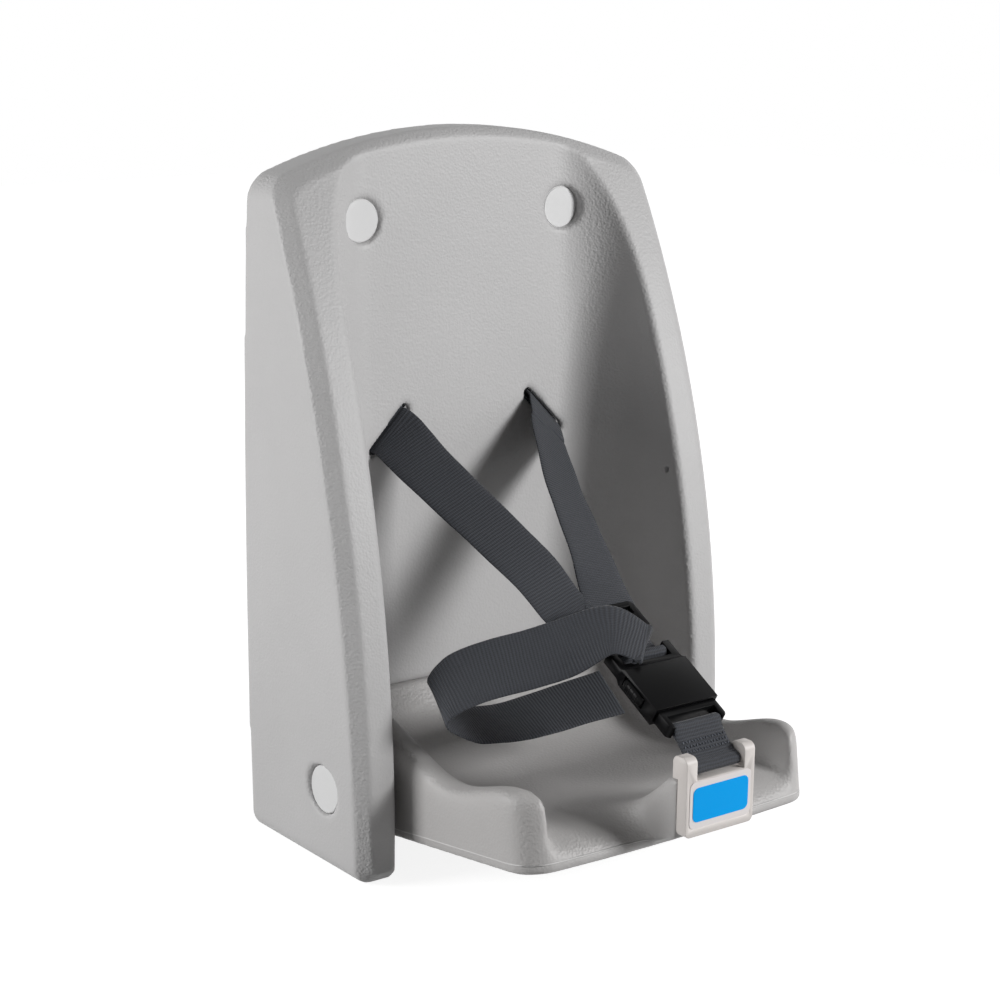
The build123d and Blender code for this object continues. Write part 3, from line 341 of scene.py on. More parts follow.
@dataclass(frozen=True)
class SmoothMoulding:
    """Plastic from a polished tool: an even colour and a soft gloss with faint flow marks.

    The flow marks and their relief are in millimetres. The gloss is the span of roughness that
    the marks give, below and above the finish's own.
    """

    name: str
    colour: str
    roughness: float
    ior: float = 1.48
    specular: float = 0.5
    flow_marks: float = 3.0
    flow_detail: float = 2.0
    flow_strength: float = 0.4
    relief: float = 0.03
    gloss: Pair = (-0.05, 0.08)

    def material(self) -> bpy.types.Material:
        """Builds the material.

        Returns:
            The material, with its pattern on object coordinates.
        """
        material, tree, shader = new_material(self.name)
        spot = add_node(tree, "ShaderNodeTexCoord").outputs["Object"]
        flow = add_node(
            tree, "ShaderNodeTexNoise",
            inputs={
                "Vector": spot, "Scale": 1 / (self.flow_marks * MM), "Detail": self.flow_detail,
            },
        ).outputs["Fac"]
        bump = add_node(
            tree, "ShaderNodeBump",
            inputs={
                "Height": flow, "Strength": self.flow_strength, "Distance": self.relief * MM,
            },
        )
        gloss = add_node(
            tree, "ShaderNodeMapRange",
            inputs={
                "Value": flow, "To Min": self.roughness + self.gloss[0],
                "To Max": self.roughness + self.gloss[1],
            },
        )
        feed(tree, shader, {
            "Base Color": linear(self.colour), "Normal": bump.outputs["Normal"],
            "Roughness": gloss.outputs["Result"], "IOR": self.ior,
            "Specular IOR Level": self.specular,
        })
        return material


@dataclass(frozen=True)
class WovenWebbing:
    """Nylon harness webbing: dull threads in close ribs across the strap, with a slight fuzz.

    The ribs, their drift and their relief are in millimetres, and the tufts are counted per
    millimetre. The ribs are drawn 2.2 mm apart, coarser than the real ones, so that they show.
    The colour runs from the valley shade up to the strap's own as the weave rises: painted shade
    in the grooves between ribs and threads, with the tufts adding tone at random.
    """

    name: str
    colour: str
    # Painted shade: the dark grey that the colour goes to in the weave's valleys.
    valley_shade: str
    roughness: float = 0.78
    sheen: float = 0.15
    sheen_roughness: float = 0.4
    rib: float = 2.2
    drift: float = 12.0
    drift_detail: float = 1.0
    drift_in_ribs: float = 0.5
    thread_in_ribs: float = 0.6
    thread_depth: float = 0.35
    tufts: float = 0.9
    tuft_detail: float = 3.0
    tuft_height: float = 1.2
    relief: float = 0.35
    strength: float = 0.5
    shade: Pair = (-1.2, 1.6)

    def weave(self, tree: Tree, strap_map: Socket) -> Socket:
        """Adds the weave's height.

        Args:
            tree: The material's tree.
            strap_map: The strap's own map, in metres.

        Returns:
            The height's socket.
        """
        parts = add_node(tree, "ShaderNodeSeparateXYZ", inputs={"Vector": strap_map}).outputs
        drift = add_node(
            tree, "ShaderNodeTexNoise",
            inputs={
                "Vector": strap_map, "Scale": 1 / (self.drift * MM), "Detail": self.drift_detail,
            },
        )
        tufts = add_node(
            tree, "ShaderNodeTexNoise",
            inputs={"Vector": strap_map, "Scale": self.tufts / MM, "Detail": self.tuft_detail},
        )
        found = {
            "crosswise": parts["X"], "lengthwise": parts["Y"],
            "drift": drift.outputs["Fac"], "tufts": tufts.outputs["Fac"],
        }
        rib = self.rib * MM
        for name, operation, first, second in (
            ("slant", "MULTIPLY", "drift", rib * self.drift_in_ribs),
            ("run", "ADD", "lengthwise", "slant"),
            ("rib turns", "MULTIPLY", "run", 2 * pi / rib),
            ("ribs", "SINE", "rib turns", 0.0),
            ("thread turns", "MULTIPLY", "crosswise", 2 * pi / (rib * self.thread_in_ribs)),
            ("thread waves", "SINE", "thread turns", 0.0),
            ("threads", "MULTIPLY", "thread waves", self.thread_depth),
            ("weave", "ADD", "ribs", "threads"),
            ("fuzz", "MULTIPLY", "tufts", self.tuft_height),
            ("height", "ADD", "weave", "fuzz"),
        ):
            sum_node = add_node(
                tree, "ShaderNodeMath", {"operation": operation},
                {0: found[first], 1: found.get(second, second)},
            )
            found[name] = sum_node.outputs["Value"]
        return found["height"]

    def material(self) -> bpy.types.Material:
        """Builds the material.

        Returns:
            The material, with its weave on the strap's own map.
        """
        material, tree, shader = new_material(self.name)
        strap_map = add_node(tree, "ShaderNodeUVMap", {"uv_map": "strap"}).outputs["UV"]
        height = self.weave(tree, strap_map)
        bump = add_node(
            tree, "ShaderNodeBump",
            inputs={"Height": height, "Strength": self.strength, "Distance": self.relief * MM},
        )
        # Painted shade: the weave's low places, between ribs and threads, take the darker valley
        # shade; the tufts vary the colour at random.
        level = add_node(
            tree, "ShaderNodeMapRange",
            inputs={"Value": height, "From Min": self.shade[0], "From Max": self.shade[1]},
        )
        tint = add_node(
            tree, "ShaderNodeMix", {"data_type": "RGBA"},
            {"Factor": level.outputs["Result"], "A": linear(self.valley_shade), "B": linear(self.colour)},
        )
        feed(tree, shader, {
            "Base Color": tint.outputs["Result"], "Normal": bump.outputs["Normal"],
            "Roughness": self.roughness, "Sheen Weight": self.sheen,
            "Sheen Roughness": self.sheen_roughness,
        })
        return material


@dataclass(frozen=True)
class BrightSteel:
    """Drawn and zinc plated steel bar: cool metal with fine draw marks along it.

    The marks are counted per millimetre along X, Y and Z. The gloss is the span of roughness
    that they give, below and above the bar's own.
    """

    name: str
    colour: str = "#b9bcc0"
    roughness: float = 0.32
    marks: Triple = (0.02, 0.9, 0.9)
    mark_detail: float = 3.0
    gloss: Pair = (-0.1, 0.14)

    def material(self) -> bpy.types.Material:
        """Builds the material.

        Returns:
            The material, with draw marks along X.
        """
        material, tree, shader = new_material(self.name)
        spot = add_node(tree, "ShaderNodeTexCoord").outputs["Object"]
        stretch = add_node(
            tree, "ShaderNodeMapping",
            inputs={"Vector": spot, "Scale": tuple(count / MM for count in self.marks)},
        )
        marks = add_node(
            tree, "ShaderNodeTexNoise",
            inputs={
                "Vector": stretch.outputs["Vector"], "Scale": 1.0, "Detail": self.mark_detail,
            },
        )
        gloss = add_node(
            tree, "ShaderNodeMapRange",
            inputs={
                "Value": marks.outputs["Fac"], "To Min": self.roughness + self.gloss[0],
                "To Max": self.roughness + self.gloss[1],
            },
        )
        feed(tree, shader, {
            "Base Color": linear(self.colour), "Metallic": 1.0,
            "Roughness": gloss.outputs["Result"],
        })
        return material


FINISHES = {
    # Moulded polyethylene: a matt light grey whose pebbles catch the light along the rims.
    "shell": GrainedPolyethylene("grey grained polyethylene shell", "#bfbebe", "#bab9b9"),
    # The same grain in a slightly warmer grey, a little darker than the shell as painted shade,
    # with the tool's pale line low round its side.
    "pan": GrainedPolyethylene(
        "grey grained polyethylene pan", "#bab8b7", "#b4b2b1",
        parting=PartingLine(upright=(0.0, 0.13744, 0.99051), level=-0.19758),
    ),
    # Moulded polypropylene: a smooth disc, paler than the shell, with a soft gloss.
    "cap": SmoothMoulding("pale grey polypropylene cap", "#dcdcdc", 0.42),
    # Moulded polypropylene in a warm white, a little duller than the caps.
    "cover": SmoothMoulding("warm white polypropylene cover", "#dfd9d5", 0.45),
    # Die cut polycarbonate sheet: flat, off white and glossier than the mouldings round it.
    "label": SmoothMoulding("off white polycarbonate plate", "#e8e2e1", 0.3, relief=0.0),
    # Screen printed ink: one flat and even blue, without the white glare of a thick gloss.
    "label_field": SmoothMoulding(
        "blue screen print", "#04a9fa", 0.22, relief=0.0, specular=0.08
    ),
    # Drawn, zinc plated steel: cool bright metal, streaked along its length.
    "steel": BrightSteel("zinc plated steel bar"),
    # Moulded nylon, undyed: a milky white with a soft gloss.
    "bush": SmoothMoulding("natural nylon bush", "#e6e3da", 0.35),
    # Moulded rubber: dull and nearly black, with hardly a highlight.
    "rubber": SmoothMoulding("black rubber pad", "#2a2a2b", 0.75),
    # Twisted nylon thread: dull, and a step lighter than the webbing that it sews.
    "thread": SmoothMoulding("grey nylon thread", "#5c6069", 0.7),
    # Woven nylon: dull slate ribs, with painted shade darkening the valleys between them, and no
    # gloss.
    "web": WovenWebbing("slate nylon webbing", "#31343b", "#1a1b1f"),
    # Moulded acetal: a deep black that shows its form by narrow highlights on its edges.
    "buckle": SmoothMoulding("black acetal buckle", "#0e0e0f", 0.3, specular=0.08),
}

NODE_SLOTS = {
    "back_shell": "shell",
    "seat_pan": "pan",
    "left_screw_cap": "cap",
    "right_screw_cap": "cap",
    "left_wing_cap": "cap",
    "right_wing_cap": "cap",
    "hinge_rod": "steel",
    "left_rod_clip": "steel",
    "right_rod_clip": "steel",
    "left_anchor_rod": "steel",
    "right_anchor_rod": "steel",
    "crotch_pin": "steel",
    "left_hinge_bush": "bush",
    "right_hinge_bush": "bush",
    "left_stop_pad": "rubber",
    "right_stop_pad": "rubber",
    "post_cover": "cover",
    "label_plate": "label",
    "label_field": "label_field",
}


@dataclass(frozen=True)
class Paint:
    """Every finish of the seat, built once."""

    materials: dict[str, bpy.types.Material]

    @classmethod
    def mixed(cls) -> "Paint":
        """Builds all finishes."""
        return cls({slot: finish.material() for slot, finish in FINISHES.items()})

    def coat(self, piece: Piece, slot: str) -> None:
        """Gives a piece one finish.

        Args:
            piece: The piece to dress.
            slot: The finish's name in the record.
        """
        piece.data.materials.clear()
        piece.data.materials.append(self.materials[slot])

    def coat_frame(self) -> None:
        """Gives every CAD node its finish, which is the buckle's where none is listed."""
        for name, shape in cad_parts.items():
            for slot in shape.material_slots:
                slot.material = self.materials[NODE_SLOTS.get(name, "buckle")]


def add_piece(name: str, mesh: bpy.types.Mesh) -> Piece:
    """Puts a mesh into the scene as an object at the origin.

    Args:
        name: The new piece's name.
        mesh: Its mesh.

    Returns:
        The new object.
    """
    piece = bpy.data.objects.new(name, mesh)
    bpy.context.scene.collection.objects.link(piece)
    return piece


def finish_piece(name: str, body: bmesh.types.BMesh) -> Piece:
    """Turns a closed bmesh into a smoothly shaded piece whose faces point outwards.

    Args:
        name: The new piece's name.
        body: The bmesh, which is freed.

    Returns:
        The new object.
    """
    bmesh.ops.recalc_face_normals(body, faces=body.faces)
    mesh = bpy.data.meshes.new(name)
    body.to_mesh(mesh)
    body.free()
    for face in mesh.polygons:
        face.use_smooth = True
    return add_piece(name, mesh)


def welded_copy(node: str, name: str, weld: float = 1e-6) -> Piece:
    """Copies a CAD node as one closed mesh.

    Args:
        node: The CAD node to copy.
        name: The new piece's name.
        weld: Points nearer than this become one, in metres.

    Returns:
        The new object, at the origin.
    """
    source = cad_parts[node]
    mesh = source.data.copy()
    mesh.name = name
    mesh.transform(source.matrix_world)
    body = bmesh.new()
    body.from_mesh(mesh)
    bmesh.ops.remove_doubles(body, verts=body.verts, dist=weld)
    bmesh.ops.recalc_face_normals(body, faces=body.faces)
    body.to_mesh(mesh)
    body.free()
    return add_piece(name, mesh)


def bake_modifiers(piece: Piece) -> None:
    """Turns a piece's modifiers into its mesh, with smooth shading.

    Args:
        piece: The piece to settle.
    """
    depsgraph = bpy.context.evaluated_depsgraph_get()
    mesh = bpy.data.meshes.new_from_object(piece.evaluated_get(depsgraph))
    piece.modifiers.clear()
    old = piece.data
    piece.data = mesh
    bpy.data.meshes.remove(old)
    for face in mesh.polygons:
        face.use_smooth = True


def soften(piece: Piece, voxel: float, rounds: int, form: Optional[Piece] = None) -> None:
    """Gives a moulding the soft edges that a hollow moulding has.

    Args:
        piece: The closed piece.
        voxel: The new mesh's face size in metres.
        rounds: How often its points settle between their neighbours.
        form: The exact form that the even mesh goes back onto first, so that walls stay flat.
    """
    remesh = piece.modifiers.new("even faces", "REMESH")
    remesh.mode = "VOXEL"
    remesh.voxel_size = voxel
    if form:
        pull = piece.modifiers.new("flat walls", "SHRINKWRAP")
        pull.wrap_method = "NEAREST_SURFACEPOINT"
        pull.target = form
    relax = piece.modifiers.new("soft edges", "SMOOTH")
    relax.factor = SETTLING_SHARE
    relax.iterations = rounds
    bake_modifiers(piece)


def mark_grain(
    piece: Piece, flat: float = 0.38, full: float = 1.0, slant: Pair = (0.04, 0.2)
) -> None:
    """Marks how strongly the tool's grain shows: fully on slanting rims, less on flat walls.

    Args:
        piece: The moulding, with its final mesh.
        flat: The grain's share on flat walls.
        full: The grain's share on slanting rims.
        slant: The slants from which the share rises and at which it is full.
    """
    mark = piece.data.attributes.new("grain", "FLOAT", "POINT")
    for vertex in piece.data.vertices:
        lean = 1 - max(abs(part) for part in vertex.normal)
        mark.data[vertex.index].value = flat + (full - flat) * ramp(lean, *slant)


def ease_edges(
    piece: Piece, width: float, steps: int = 2, angle: float = 30.0, flatness: float = 1.0
) -> None:
    """Rounds a hard piece's edges by a small bevel.

    Args:
        piece: The closed piece.
        width: The bevel's width in metres.
        steps: How many faces the rounding gets.
        angle: Edges sharper than this many degrees are rounded.
        flatness: Faces that meet at less than this many degrees become one.
    """
    flat = piece.modifiers.new("flat faces", "DECIMATE")
    flat.decimate_type = "DISSOLVE"
    flat.angle_limit = radians(flatness)
    bevel = piece.modifiers.new("eased edges", "BEVEL")
    bevel.width = width
    bevel.segments = steps
    bevel.limit_method = "ANGLE"
    bevel.angle_limit = radians(angle)
    bevel.use_clamp_overlap = True
    bevel.harden_normals = True
    even = piece.modifiers.new("even shading", "WEIGHTED_NORMAL")
    even.keep_sharp = True
    bake_modifiers(piece)


@dataclass
class BackShell:
    """The back shell with its two wings, one grey moulding screwed to the wall.

    Lengths are in millimetres. The thinning is the share of faces that is kept, the vent's probe
    is how far above it the wing's wall is looked for, and its lead is how far it starts ahead of
    that wall.
    """

    paint: Paint
    voxel: float = 2.0
    settling: int = 6
    thinning: float = 0.62
    vent_radius: float = 2.3
    vent_depth: float = 100.0
    vent_height: float = 232.5
    vent_length: float = 12.0
    vent_lead: float = 2.0
    vent_probe: float = 6.0
    vent_sides: int = 24

    def build(self) -> list[Piece]:
        """Builds the shell's pieces.

        Returns:
            The moulded shell.
        """
        shell = welded_copy("back_shell", "moulded_shell")
        form = welded_copy("back_shell", "exact_shell")
        soften(shell, self.voxel * MM, self.settling, form)
        probe = place(0, self.vent_depth, self.vent_height + self.vent_probe)
        wall = form.ray_cast(probe, Vector((1, 0, 0)))[1]
        bpy.data.objects.remove(form)
        self.cut_vent(shell, wall.x)
        thin = shell.modifiers.new("fewer faces", "DECIMATE")
        thin.ratio = self.thinning
        bake_modifiers(shell)
        mark_grain(shell)
        self.paint.coat(shell, "shell")
        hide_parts("back_shell")
        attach(shell, "shell")
        return [shell]

    def cut_vent(self, shell: Piece, wall: float) -> None:
        """Cuts the small vent into the right wing again, since even faces are too coarse for it.

        Args:
            shell: The shell, with its even mesh.
            wall: Where the wing's inner wall is, in metres to the right.
        """
        middle = wall + (self.vent_length / 2 - self.vent_lead) * MM
        spot = place(0, self.vent_depth, self.vent_height) + Vector((middle, 0, 0))
        body = bmesh.new()
        bmesh.ops.create_cone(
            body, cap_ends=True, segments=self.vent_sides, radius1=self.vent_radius * MM,
            radius2=self.vent_radius * MM, depth=self.vent_length * MM,
            matrix=Matrix.Translation(spot) @ Matrix.Rotation(pi / 2, 4, "Y"),
        )
        cutter = finish_piece("vent_cutter", body)
        cut = shell.modifiers.new("vent", "BOOLEAN")
        cut.operation = "DIFFERENCE"
        cut.object = cutter
        bake_modifiers(shell)
        bpy.data.objects.remove(cutter)


@dataclass
class SeatPan:
    """The folding seat pan with its cheeks and post, one grey moulding with broad soft lips.

    Lengths are in millimetres. Each pair says where a soft region begins and where it is fully
    soft, across the pan, along its reach ahead of the hinge, or up from its underside. The
    cover's gap counts back from the cover, which stays crisp.
    """

    paint: Paint
    voxel: float = 1.8
    settling: int = 5
    lip_settling: int = 100
    hinge_depth: float = 89.0
    hinge_height: float = 54.5
    hinge_rise: float = 35.1
    tilt: float = 7.9
    lip_across: Pair = (82.0, 94.0)
    lip_reach: Pair = (-4.0, 26.0)
    lip_height: Pair = (10.0, 24.0)
    slope_reach: Pair = (104.0, 128.0)
    slope_height: Pair = (3.0, 9.0)
    rim_reach: Pair = (-30.0, 0.0)
    rim_height: Pair = (50.0, 62.0)
    rim_share: float = 0.6
    cover_depth: float = 289.0
    cover_gap: Pair = (3.0, 16.0)
    least_share: float = 0.01

    def own_sizes(self, point: Vector) -> Triple:
        """Turns a point of the frame into the pan's own sizes.

        Args:
            point: The point in metres.

        Returns:
            Distance from the middle, reach ahead of the hinge and height above the underside.
        """
        depth = -point.y / MM - self.hinge_depth
        rise = point.z / MM - FOOT_HEIGHT - self.hinge_height
        up, out = sin(radians(self.tilt)), cos(radians(self.tilt))
        return (
            abs(point.x) / MM, depth * out + rise * up, rise * out - depth * up + self.hinge_rise,
        )

    def softness(self, point: Vector) -> float:
        """Says how round the moulding is at a point.

        Args:
            point: The point in metres.

        Returns:
            1 on the lips and the slope for the legs, 0 on the barrels and the post's front.
        """
        x, reach, height = self.own_sizes(point)
        sides = ramp(x, *self.lip_across)
        lips = sides * ramp(reach, *self.lip_reach) * ramp(height, *self.lip_height)
        slope = ramp(reach, *self.slope_reach) * ramp(height, *self.slope_height)
        rim = ramp(height, *self.rim_height) * ramp(reach, *self.rim_reach) * self.rim_share
        behind_cover = ramp(self.cover_depth + point.y / MM, *self.cover_gap)
        return max(lips, slope, rim) * behind_cover

    def build(self) -> list[Piece]:
        """Builds the pan's pieces.

        Returns:
            The moulded pan.
        """
        pan = welded_copy("seat_pan", "moulded_pan")
        soften(pan, self.voxel * MM, self.settling)
        soft = pan.vertex_groups.new(name="soft")
        for vertex in pan.data.vertices:
            share = self.softness(vertex.co)
            if share > self.least_share:
                soft.add([vertex.index], share, "REPLACE")
        relax = pan.modifiers.new("broad lips", "SMOOTH")
        relax.factor = SETTLING_SHARE
        relax.iterations = self.lip_settling
        relax.vertex_group = soft.name
        bake_modifiers(pan)
        mark_grain(pan)
        self.paint.coat(pan, "pan")
        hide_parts("seat_pan")
        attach(pan, "seat")
        return [pan]


@dataclass(frozen=True)
class Station:
    """A place on a strap: where its middle is and which way its width runs."""

    centre: Vector
    across: Vector


def read_route(route: Route) -> list[Station]:
    """Turns a route in seat sizes into stations.

    Args:
        route: For each station, the middle in millimetres and the width's direction, both as
            parts to the right, off the wall and up, with heights above the shell's bottom edge.

    Returns:
        The stations.
    """
    return [Station(place(*centre), direction(*across)) for centre, across in route]


@dataclass(frozen=True)
class Fold:
    """How a strap flattens while the seat folds up, because webbing can't follow the joint. Nothing
    here folds a strap by it; a strap with a fold only gets its own mesh.
    """

    axis: Sequence[float]
    anchor: Vector
    keep: float


@dataclass
class Ribbon:
    """A length of webbing that bends and twists from station to station.

    Lengths are in millimetres, and places across the strap count from -1 to 1. Beyond the
    selvedge the strap thins to the given share. The ripple is a slow wave along the strap that
    grows towards its edges, by the given power of the place.
    """

    name: str
    stations: Sequence[Station]
    width: float = 38.0
    thickness: float = 1.5
    steps: int = 10
    places: tuple[float, ...] = (-1.0, -0.95, -0.7, -0.35, 0.0, 0.35, 0.7, 0.95, 1.0)
    selvedge: float = 0.96
    selvedge_share: float = 0.4
    ripple: float = 0.25
    ripple_run: float = 7.0
    ripple_power: int = 3

    def line(self) -> list[Station]:
        """Works out a smooth run of places through the stations, by a cubic through four.

        Returns:
            Closely spaced stations.
        """
        given = list(self.stations)
        ends = [given[0]] + given + [given[-1]]
        out = []
        for i in range(len(given) - 1):
            four = ends[i:i + 4]
            for step in range(self.steps):
                t = step / self.steps
                weights = (
                    (-t + 2 * t * t - t ** 3) / 2,
                    (2 - 5 * t * t + 3 * t ** 3) / 2,
                    (t + 4 * t * t - 3 * t ** 3) / 2,
                    (-t * t + t ** 3) / 2,
                )
                centre = sum((s.centre * w for s, w in zip(four, weights)), Vector())
                across = sum((s.across * w for s, w in zip(four, weights)), Vector())
                out.append(Station(centre, across.normalized()))
        out.append(given[-1])
        return out

    def length(self) -> float:
        """Measures the strap along its middle.

        Returns:
            Its length in metres.
        """
        run = self.line()
        return sum((b.centre - a.centre).length for a, b in zip(run, run[1:]))

    def profile(self) -> list[Pair]:
        """Draws the strap's cut edge.

        Returns:
            Places across it and shares of its half thickness, over the top and back below.
        """
        top = [
            (u, 1.0 if abs(u) < self.selvedge else self.selvedge_share) for u in self.places
        ]
        return top + [(u, -n) for u, n in reversed(top)]

    def build(self) -> Piece:
        """Builds the strap.

        Returns:
            The strap's object, with its map in metres.
        """
        run, profile = self.line(), self.profile()
        half, thin = self.width * MM / 2, self.thickness * MM / 2
        body = bmesh.new()
        strap_map = body.loops.layers.uv.new("strap")
        rings, travels, travel = [], [], 0.0
        for i, spot in enumerate(run):
            ahead = run[min(i + 1, len(run) - 1)].centre - run[max(i - 1, 0)].centre
            ahead.normalize()
            across = (spot.across - ahead * spot.across.dot(ahead)).normalized()
            normal = ahead.cross(across)
            if i:
                travel += (spot.centre - run[i - 1].centre).length
            wave = self.ripple * MM * sin(travel / MM / self.ripple_run)
            ring = []
            for u, n in profile:
                lift = thin * n + wave * abs(u) ** self.ripple_power
                ring.append(body.verts.new(spot.centre + across * (u * half) + normal * lift))
            rings.append(ring)
            travels.append(travel)
        count = len(profile)
        for i in range(len(rings) - 1):
            for j in range(count):
                k = (j + 1) % count
                corners = (rings[i][j], rings[i + 1][j], rings[i + 1][k], rings[i][k])
                face = body.faces.new(corners)
                for loop, (p, q) in zip(face.loops, ((j, i), (j, i + 1), (k, i + 1), (k, i))):
                    loop[strap_map].uv = (profile[p][0] * half + half, travels[q])
        for ring, travel in ((rings[0], travels[0]), (rings[-1], travels[-1])):
            face = body.faces.new(ring)
            for loop, (u, _) in zip(face.loops, profile):
                loop[strap_map].uv = (u * half + half, travel)
        return finish_piece(self.name, body)


@dataclass(frozen=True)
class BuckleLine:
    """The buckle's own line, from the crotch strap up towards the slots."""

    depth: float = 249.8
    height: float = 134.1
    tilt: float = 29.5

    def at(self, along: float, lift: float, x: float = 0.0) -> Vector:
        """Finds a point by the buckle's own lengths.

        Args:
            along: Millimetres up the line from the buckle's middle.
            lift: Millimetres off the line, away from the seat.
            x: Millimetres to the right.

        Returns:
            The point in metres.
        """
        up, out = sin(radians(self.tilt)), cos(radians(self.tilt))
        depth = self.depth - along * out + lift * up
        return place(x, depth, self.height + along * up + lift * out)

    def along(self) -> Vector:
        """Gives the direction up the line."""
        return (self.at(1, 0) - self.at(0, 0)).normalized()

    def face(self) -> Vector:
        """Gives the direction off the line, away from the seat."""
        return (self.at(0, 1) - self.at(0, 0)).normalized()


@dataclass
class RodRow:
    """Rods side by side in a straight row, such as stitches or grip ribs, leaning to and fro.

    Each rod is a stretched ball. Its length and radius are in millimetres and its lean is in
    degrees. Lie is the way that the rods point, and face is the axis about which they lean.
    """

    name: str
    start: Vector
    end: Vector
    lie: Vector
    face: Vector
    length: float
    radius: float
    count: int
    lean: float = 0.0
    sides: int = 8
    rings: int = 6

    def tree(self, material: bpy.types.Material) -> tuple[Tree, dict[str, str]]:
        """Builds the row's node tree.

        Args:
            material: The rods' finish.

        Returns:
            The tree, and its inputs' identifiers by name.
        """
        tree = bpy.data.node_groups.new("rods in a row", "GeometryNodeTree")
        kinds = {
            "Start": "Vector", "End": "Vector", "Lie": "Vector", "Face": "Vector",
            "Count": "Int", "Length": "Float", "Radius": "Float", "Lean": "Float",
        }
        names = {}
        for name, kind in kinds.items():
            given = tree.interface.new_socket(
                name, in_out="INPUT", socket_type=f"NodeSocket{kind}"
            )
            names[name] = given.identifier
        tree.interface.new_socket(
            "Geometry", in_out="OUTPUT", socket_type="NodeSocketGeometry"
        )
        sizes = add_node(tree, "NodeGroupInput").outputs
        line = add_node(
            tree, "GeometryNodeMeshLine", {"mode": "END_POINTS"},
            {"Count": sizes["Count"], "Start Location": sizes["Start"], "Offset": sizes["End"]},
        )
        ball = add_node(
            tree, "GeometryNodeMeshUVSphere",
            inputs={"Segments": self.sides, "Rings": self.rings, "Radius": 1.0},
        )
        half = add_node(
            tree, "ShaderNodeMath", {"operation": "MULTIPLY"}, {0: sizes["Length"], 1: 0.5}
        )
        reach = add_node(
            tree, "ShaderNodeCombineXYZ",
            inputs={"X": sizes["Radius"], "Y": sizes["Radius"], "Z": half.outputs["Value"]},
        )
        rod = add_node(
            tree, "GeometryNodeTransform",
            inputs={"Geometry": ball.outputs["Mesh"], "Scale": reach.outputs["Vector"]},
        )
        upright = add_node(
            tree, "FunctionNodeAlignRotationToVector", {"axis": "Z"}, {"Vector": sizes["Lie"]}
        )
        index = add_node(tree, "GeometryNodeInputIndex").outputs["Index"]
        parity = add_node(tree, "ShaderNodeMath", {"operation": "MODULO"}, {0: index, 1: 2.0})
        double = add_node(
            tree, "ShaderNodeMath", {"operation": "MULTIPLY"},
            {0: parity.outputs["Value"], 1: 2.0},
        )
        to_and_fro = add_node(
            tree, "ShaderNodeMath", {"operation": "SUBTRACT"},
            {0: double.outputs["Value"], 1: 1.0},
        )
        angle = add_node(
            tree, "ShaderNodeMath", {"operation": "MULTIPLY"},
            {0: to_and_fro.outputs["Value"], 1: sizes["Lean"]},
        )
        turn = add_node(
            tree, "FunctionNodeAxisAngleToRotation",
            inputs={"Axis": sizes["Face"], "Angle": angle.outputs["Value"]},
        )
        leaning = add_node(
            tree, "FunctionNodeRotateRotation", {"rotation_space": "GLOBAL"},
            {"Rotation": upright.outputs["Rotation"], "Rotate By": turn.outputs["Rotation"]},
        )
        spread = add_node(
            tree, "GeometryNodeInstanceOnPoints",
            inputs={
                "Points": line.outputs["Mesh"], "Instance": rod.outputs["Geometry"],
                "Rotation": leaning.outputs["Rotation"],
            },
        )
        real = add_node(
            tree, "GeometryNodeRealizeInstances",
            inputs={"Geometry": spread.outputs["Instances"]},
        )
        dressed = add_node(
            tree, "GeometryNodeSetMaterial",
            inputs={"Geometry": real.outputs["Geometry"], "Material": material},
        )
        add_node(tree, "NodeGroupOutput", inputs={"Geometry": dressed.outputs["Geometry"]})
        return tree, names

    def build(self, material: bpy.types.Material) -> Piece:
        """Builds the row.

        Args:
            material: The rods' finish.

        Returns:
            The row as one plain mesh.
        """
        piece = add_piece(self.name, bpy.data.meshes.new(self.name))
        rods = piece.modifiers.new("rods", "NODES")
        tree, names = self.tree(material)
        rods.node_group = tree
        sizes = {
            "Start": self.start, "End": self.end, "Lie": self.lie, "Face": self.face,
            "Count": self.count, "Length": self.length * MM, "Radius": self.radius * MM,
            "Lean": radians(self.lean),
        }
        for name, value in sizes.items():
            rods[names[name]] = value
        bake_modifiers(piece)
        return piece


# From its slot, each shoulder strap hangs to the slide, where the two lie side by side.
SHOULDER_ROUTES: dict[Side, Route] = {
    Side.LEFT: (
        ((-63, 42, 268), (0.70, -0.10, 0.71)),
        ((-61, 52, 261.6), (0.75, -0.11, 0.65)),
        ((-56, 72, 248), (0.84, -0.14, 0.52)),
        ((-44, 112, 222), (0.87, -0.19, 0.45)),
        ((-31, 150, 195), (0.88, -0.25, 0.41)),
        ((-23.4, 169.9, 175.3), (0.89, -0.28, 0.34)),
        ((-20, 180, 168.5), (0.90, -0.30, 0.30)),
        ((-12, 192, 160.5), (0.93, -0.22, 0.25)),
        ((-8, 198, 157), (0.95, -0.18, 0.20)),
    ),
    Side.RIGHT: (
        ((62, 42, 267), (0.72, 0.02, -0.69)),
        ((59, 48.5, 262), (0.80, -0.14, -0.52)),
        ((54, 57, 256), (0.87, -0.32, -0.30)),
        ((37, 96, 229), (0.90, -0.43, -0.06)),
        ((25, 136, 200), (0.94, -0.34, -0.02)),
        ((16, 162, 181), (0.97, -0.23, 0.03)),
        ((7, 185, 167.5), (0.99, -0.12, 0.06)),
        ((3, 193, 163), (1.0, -0.05, 0.03)),
        ((1, 199, 159.5), (1.0, -0.03, 0.02)),
    ),
}

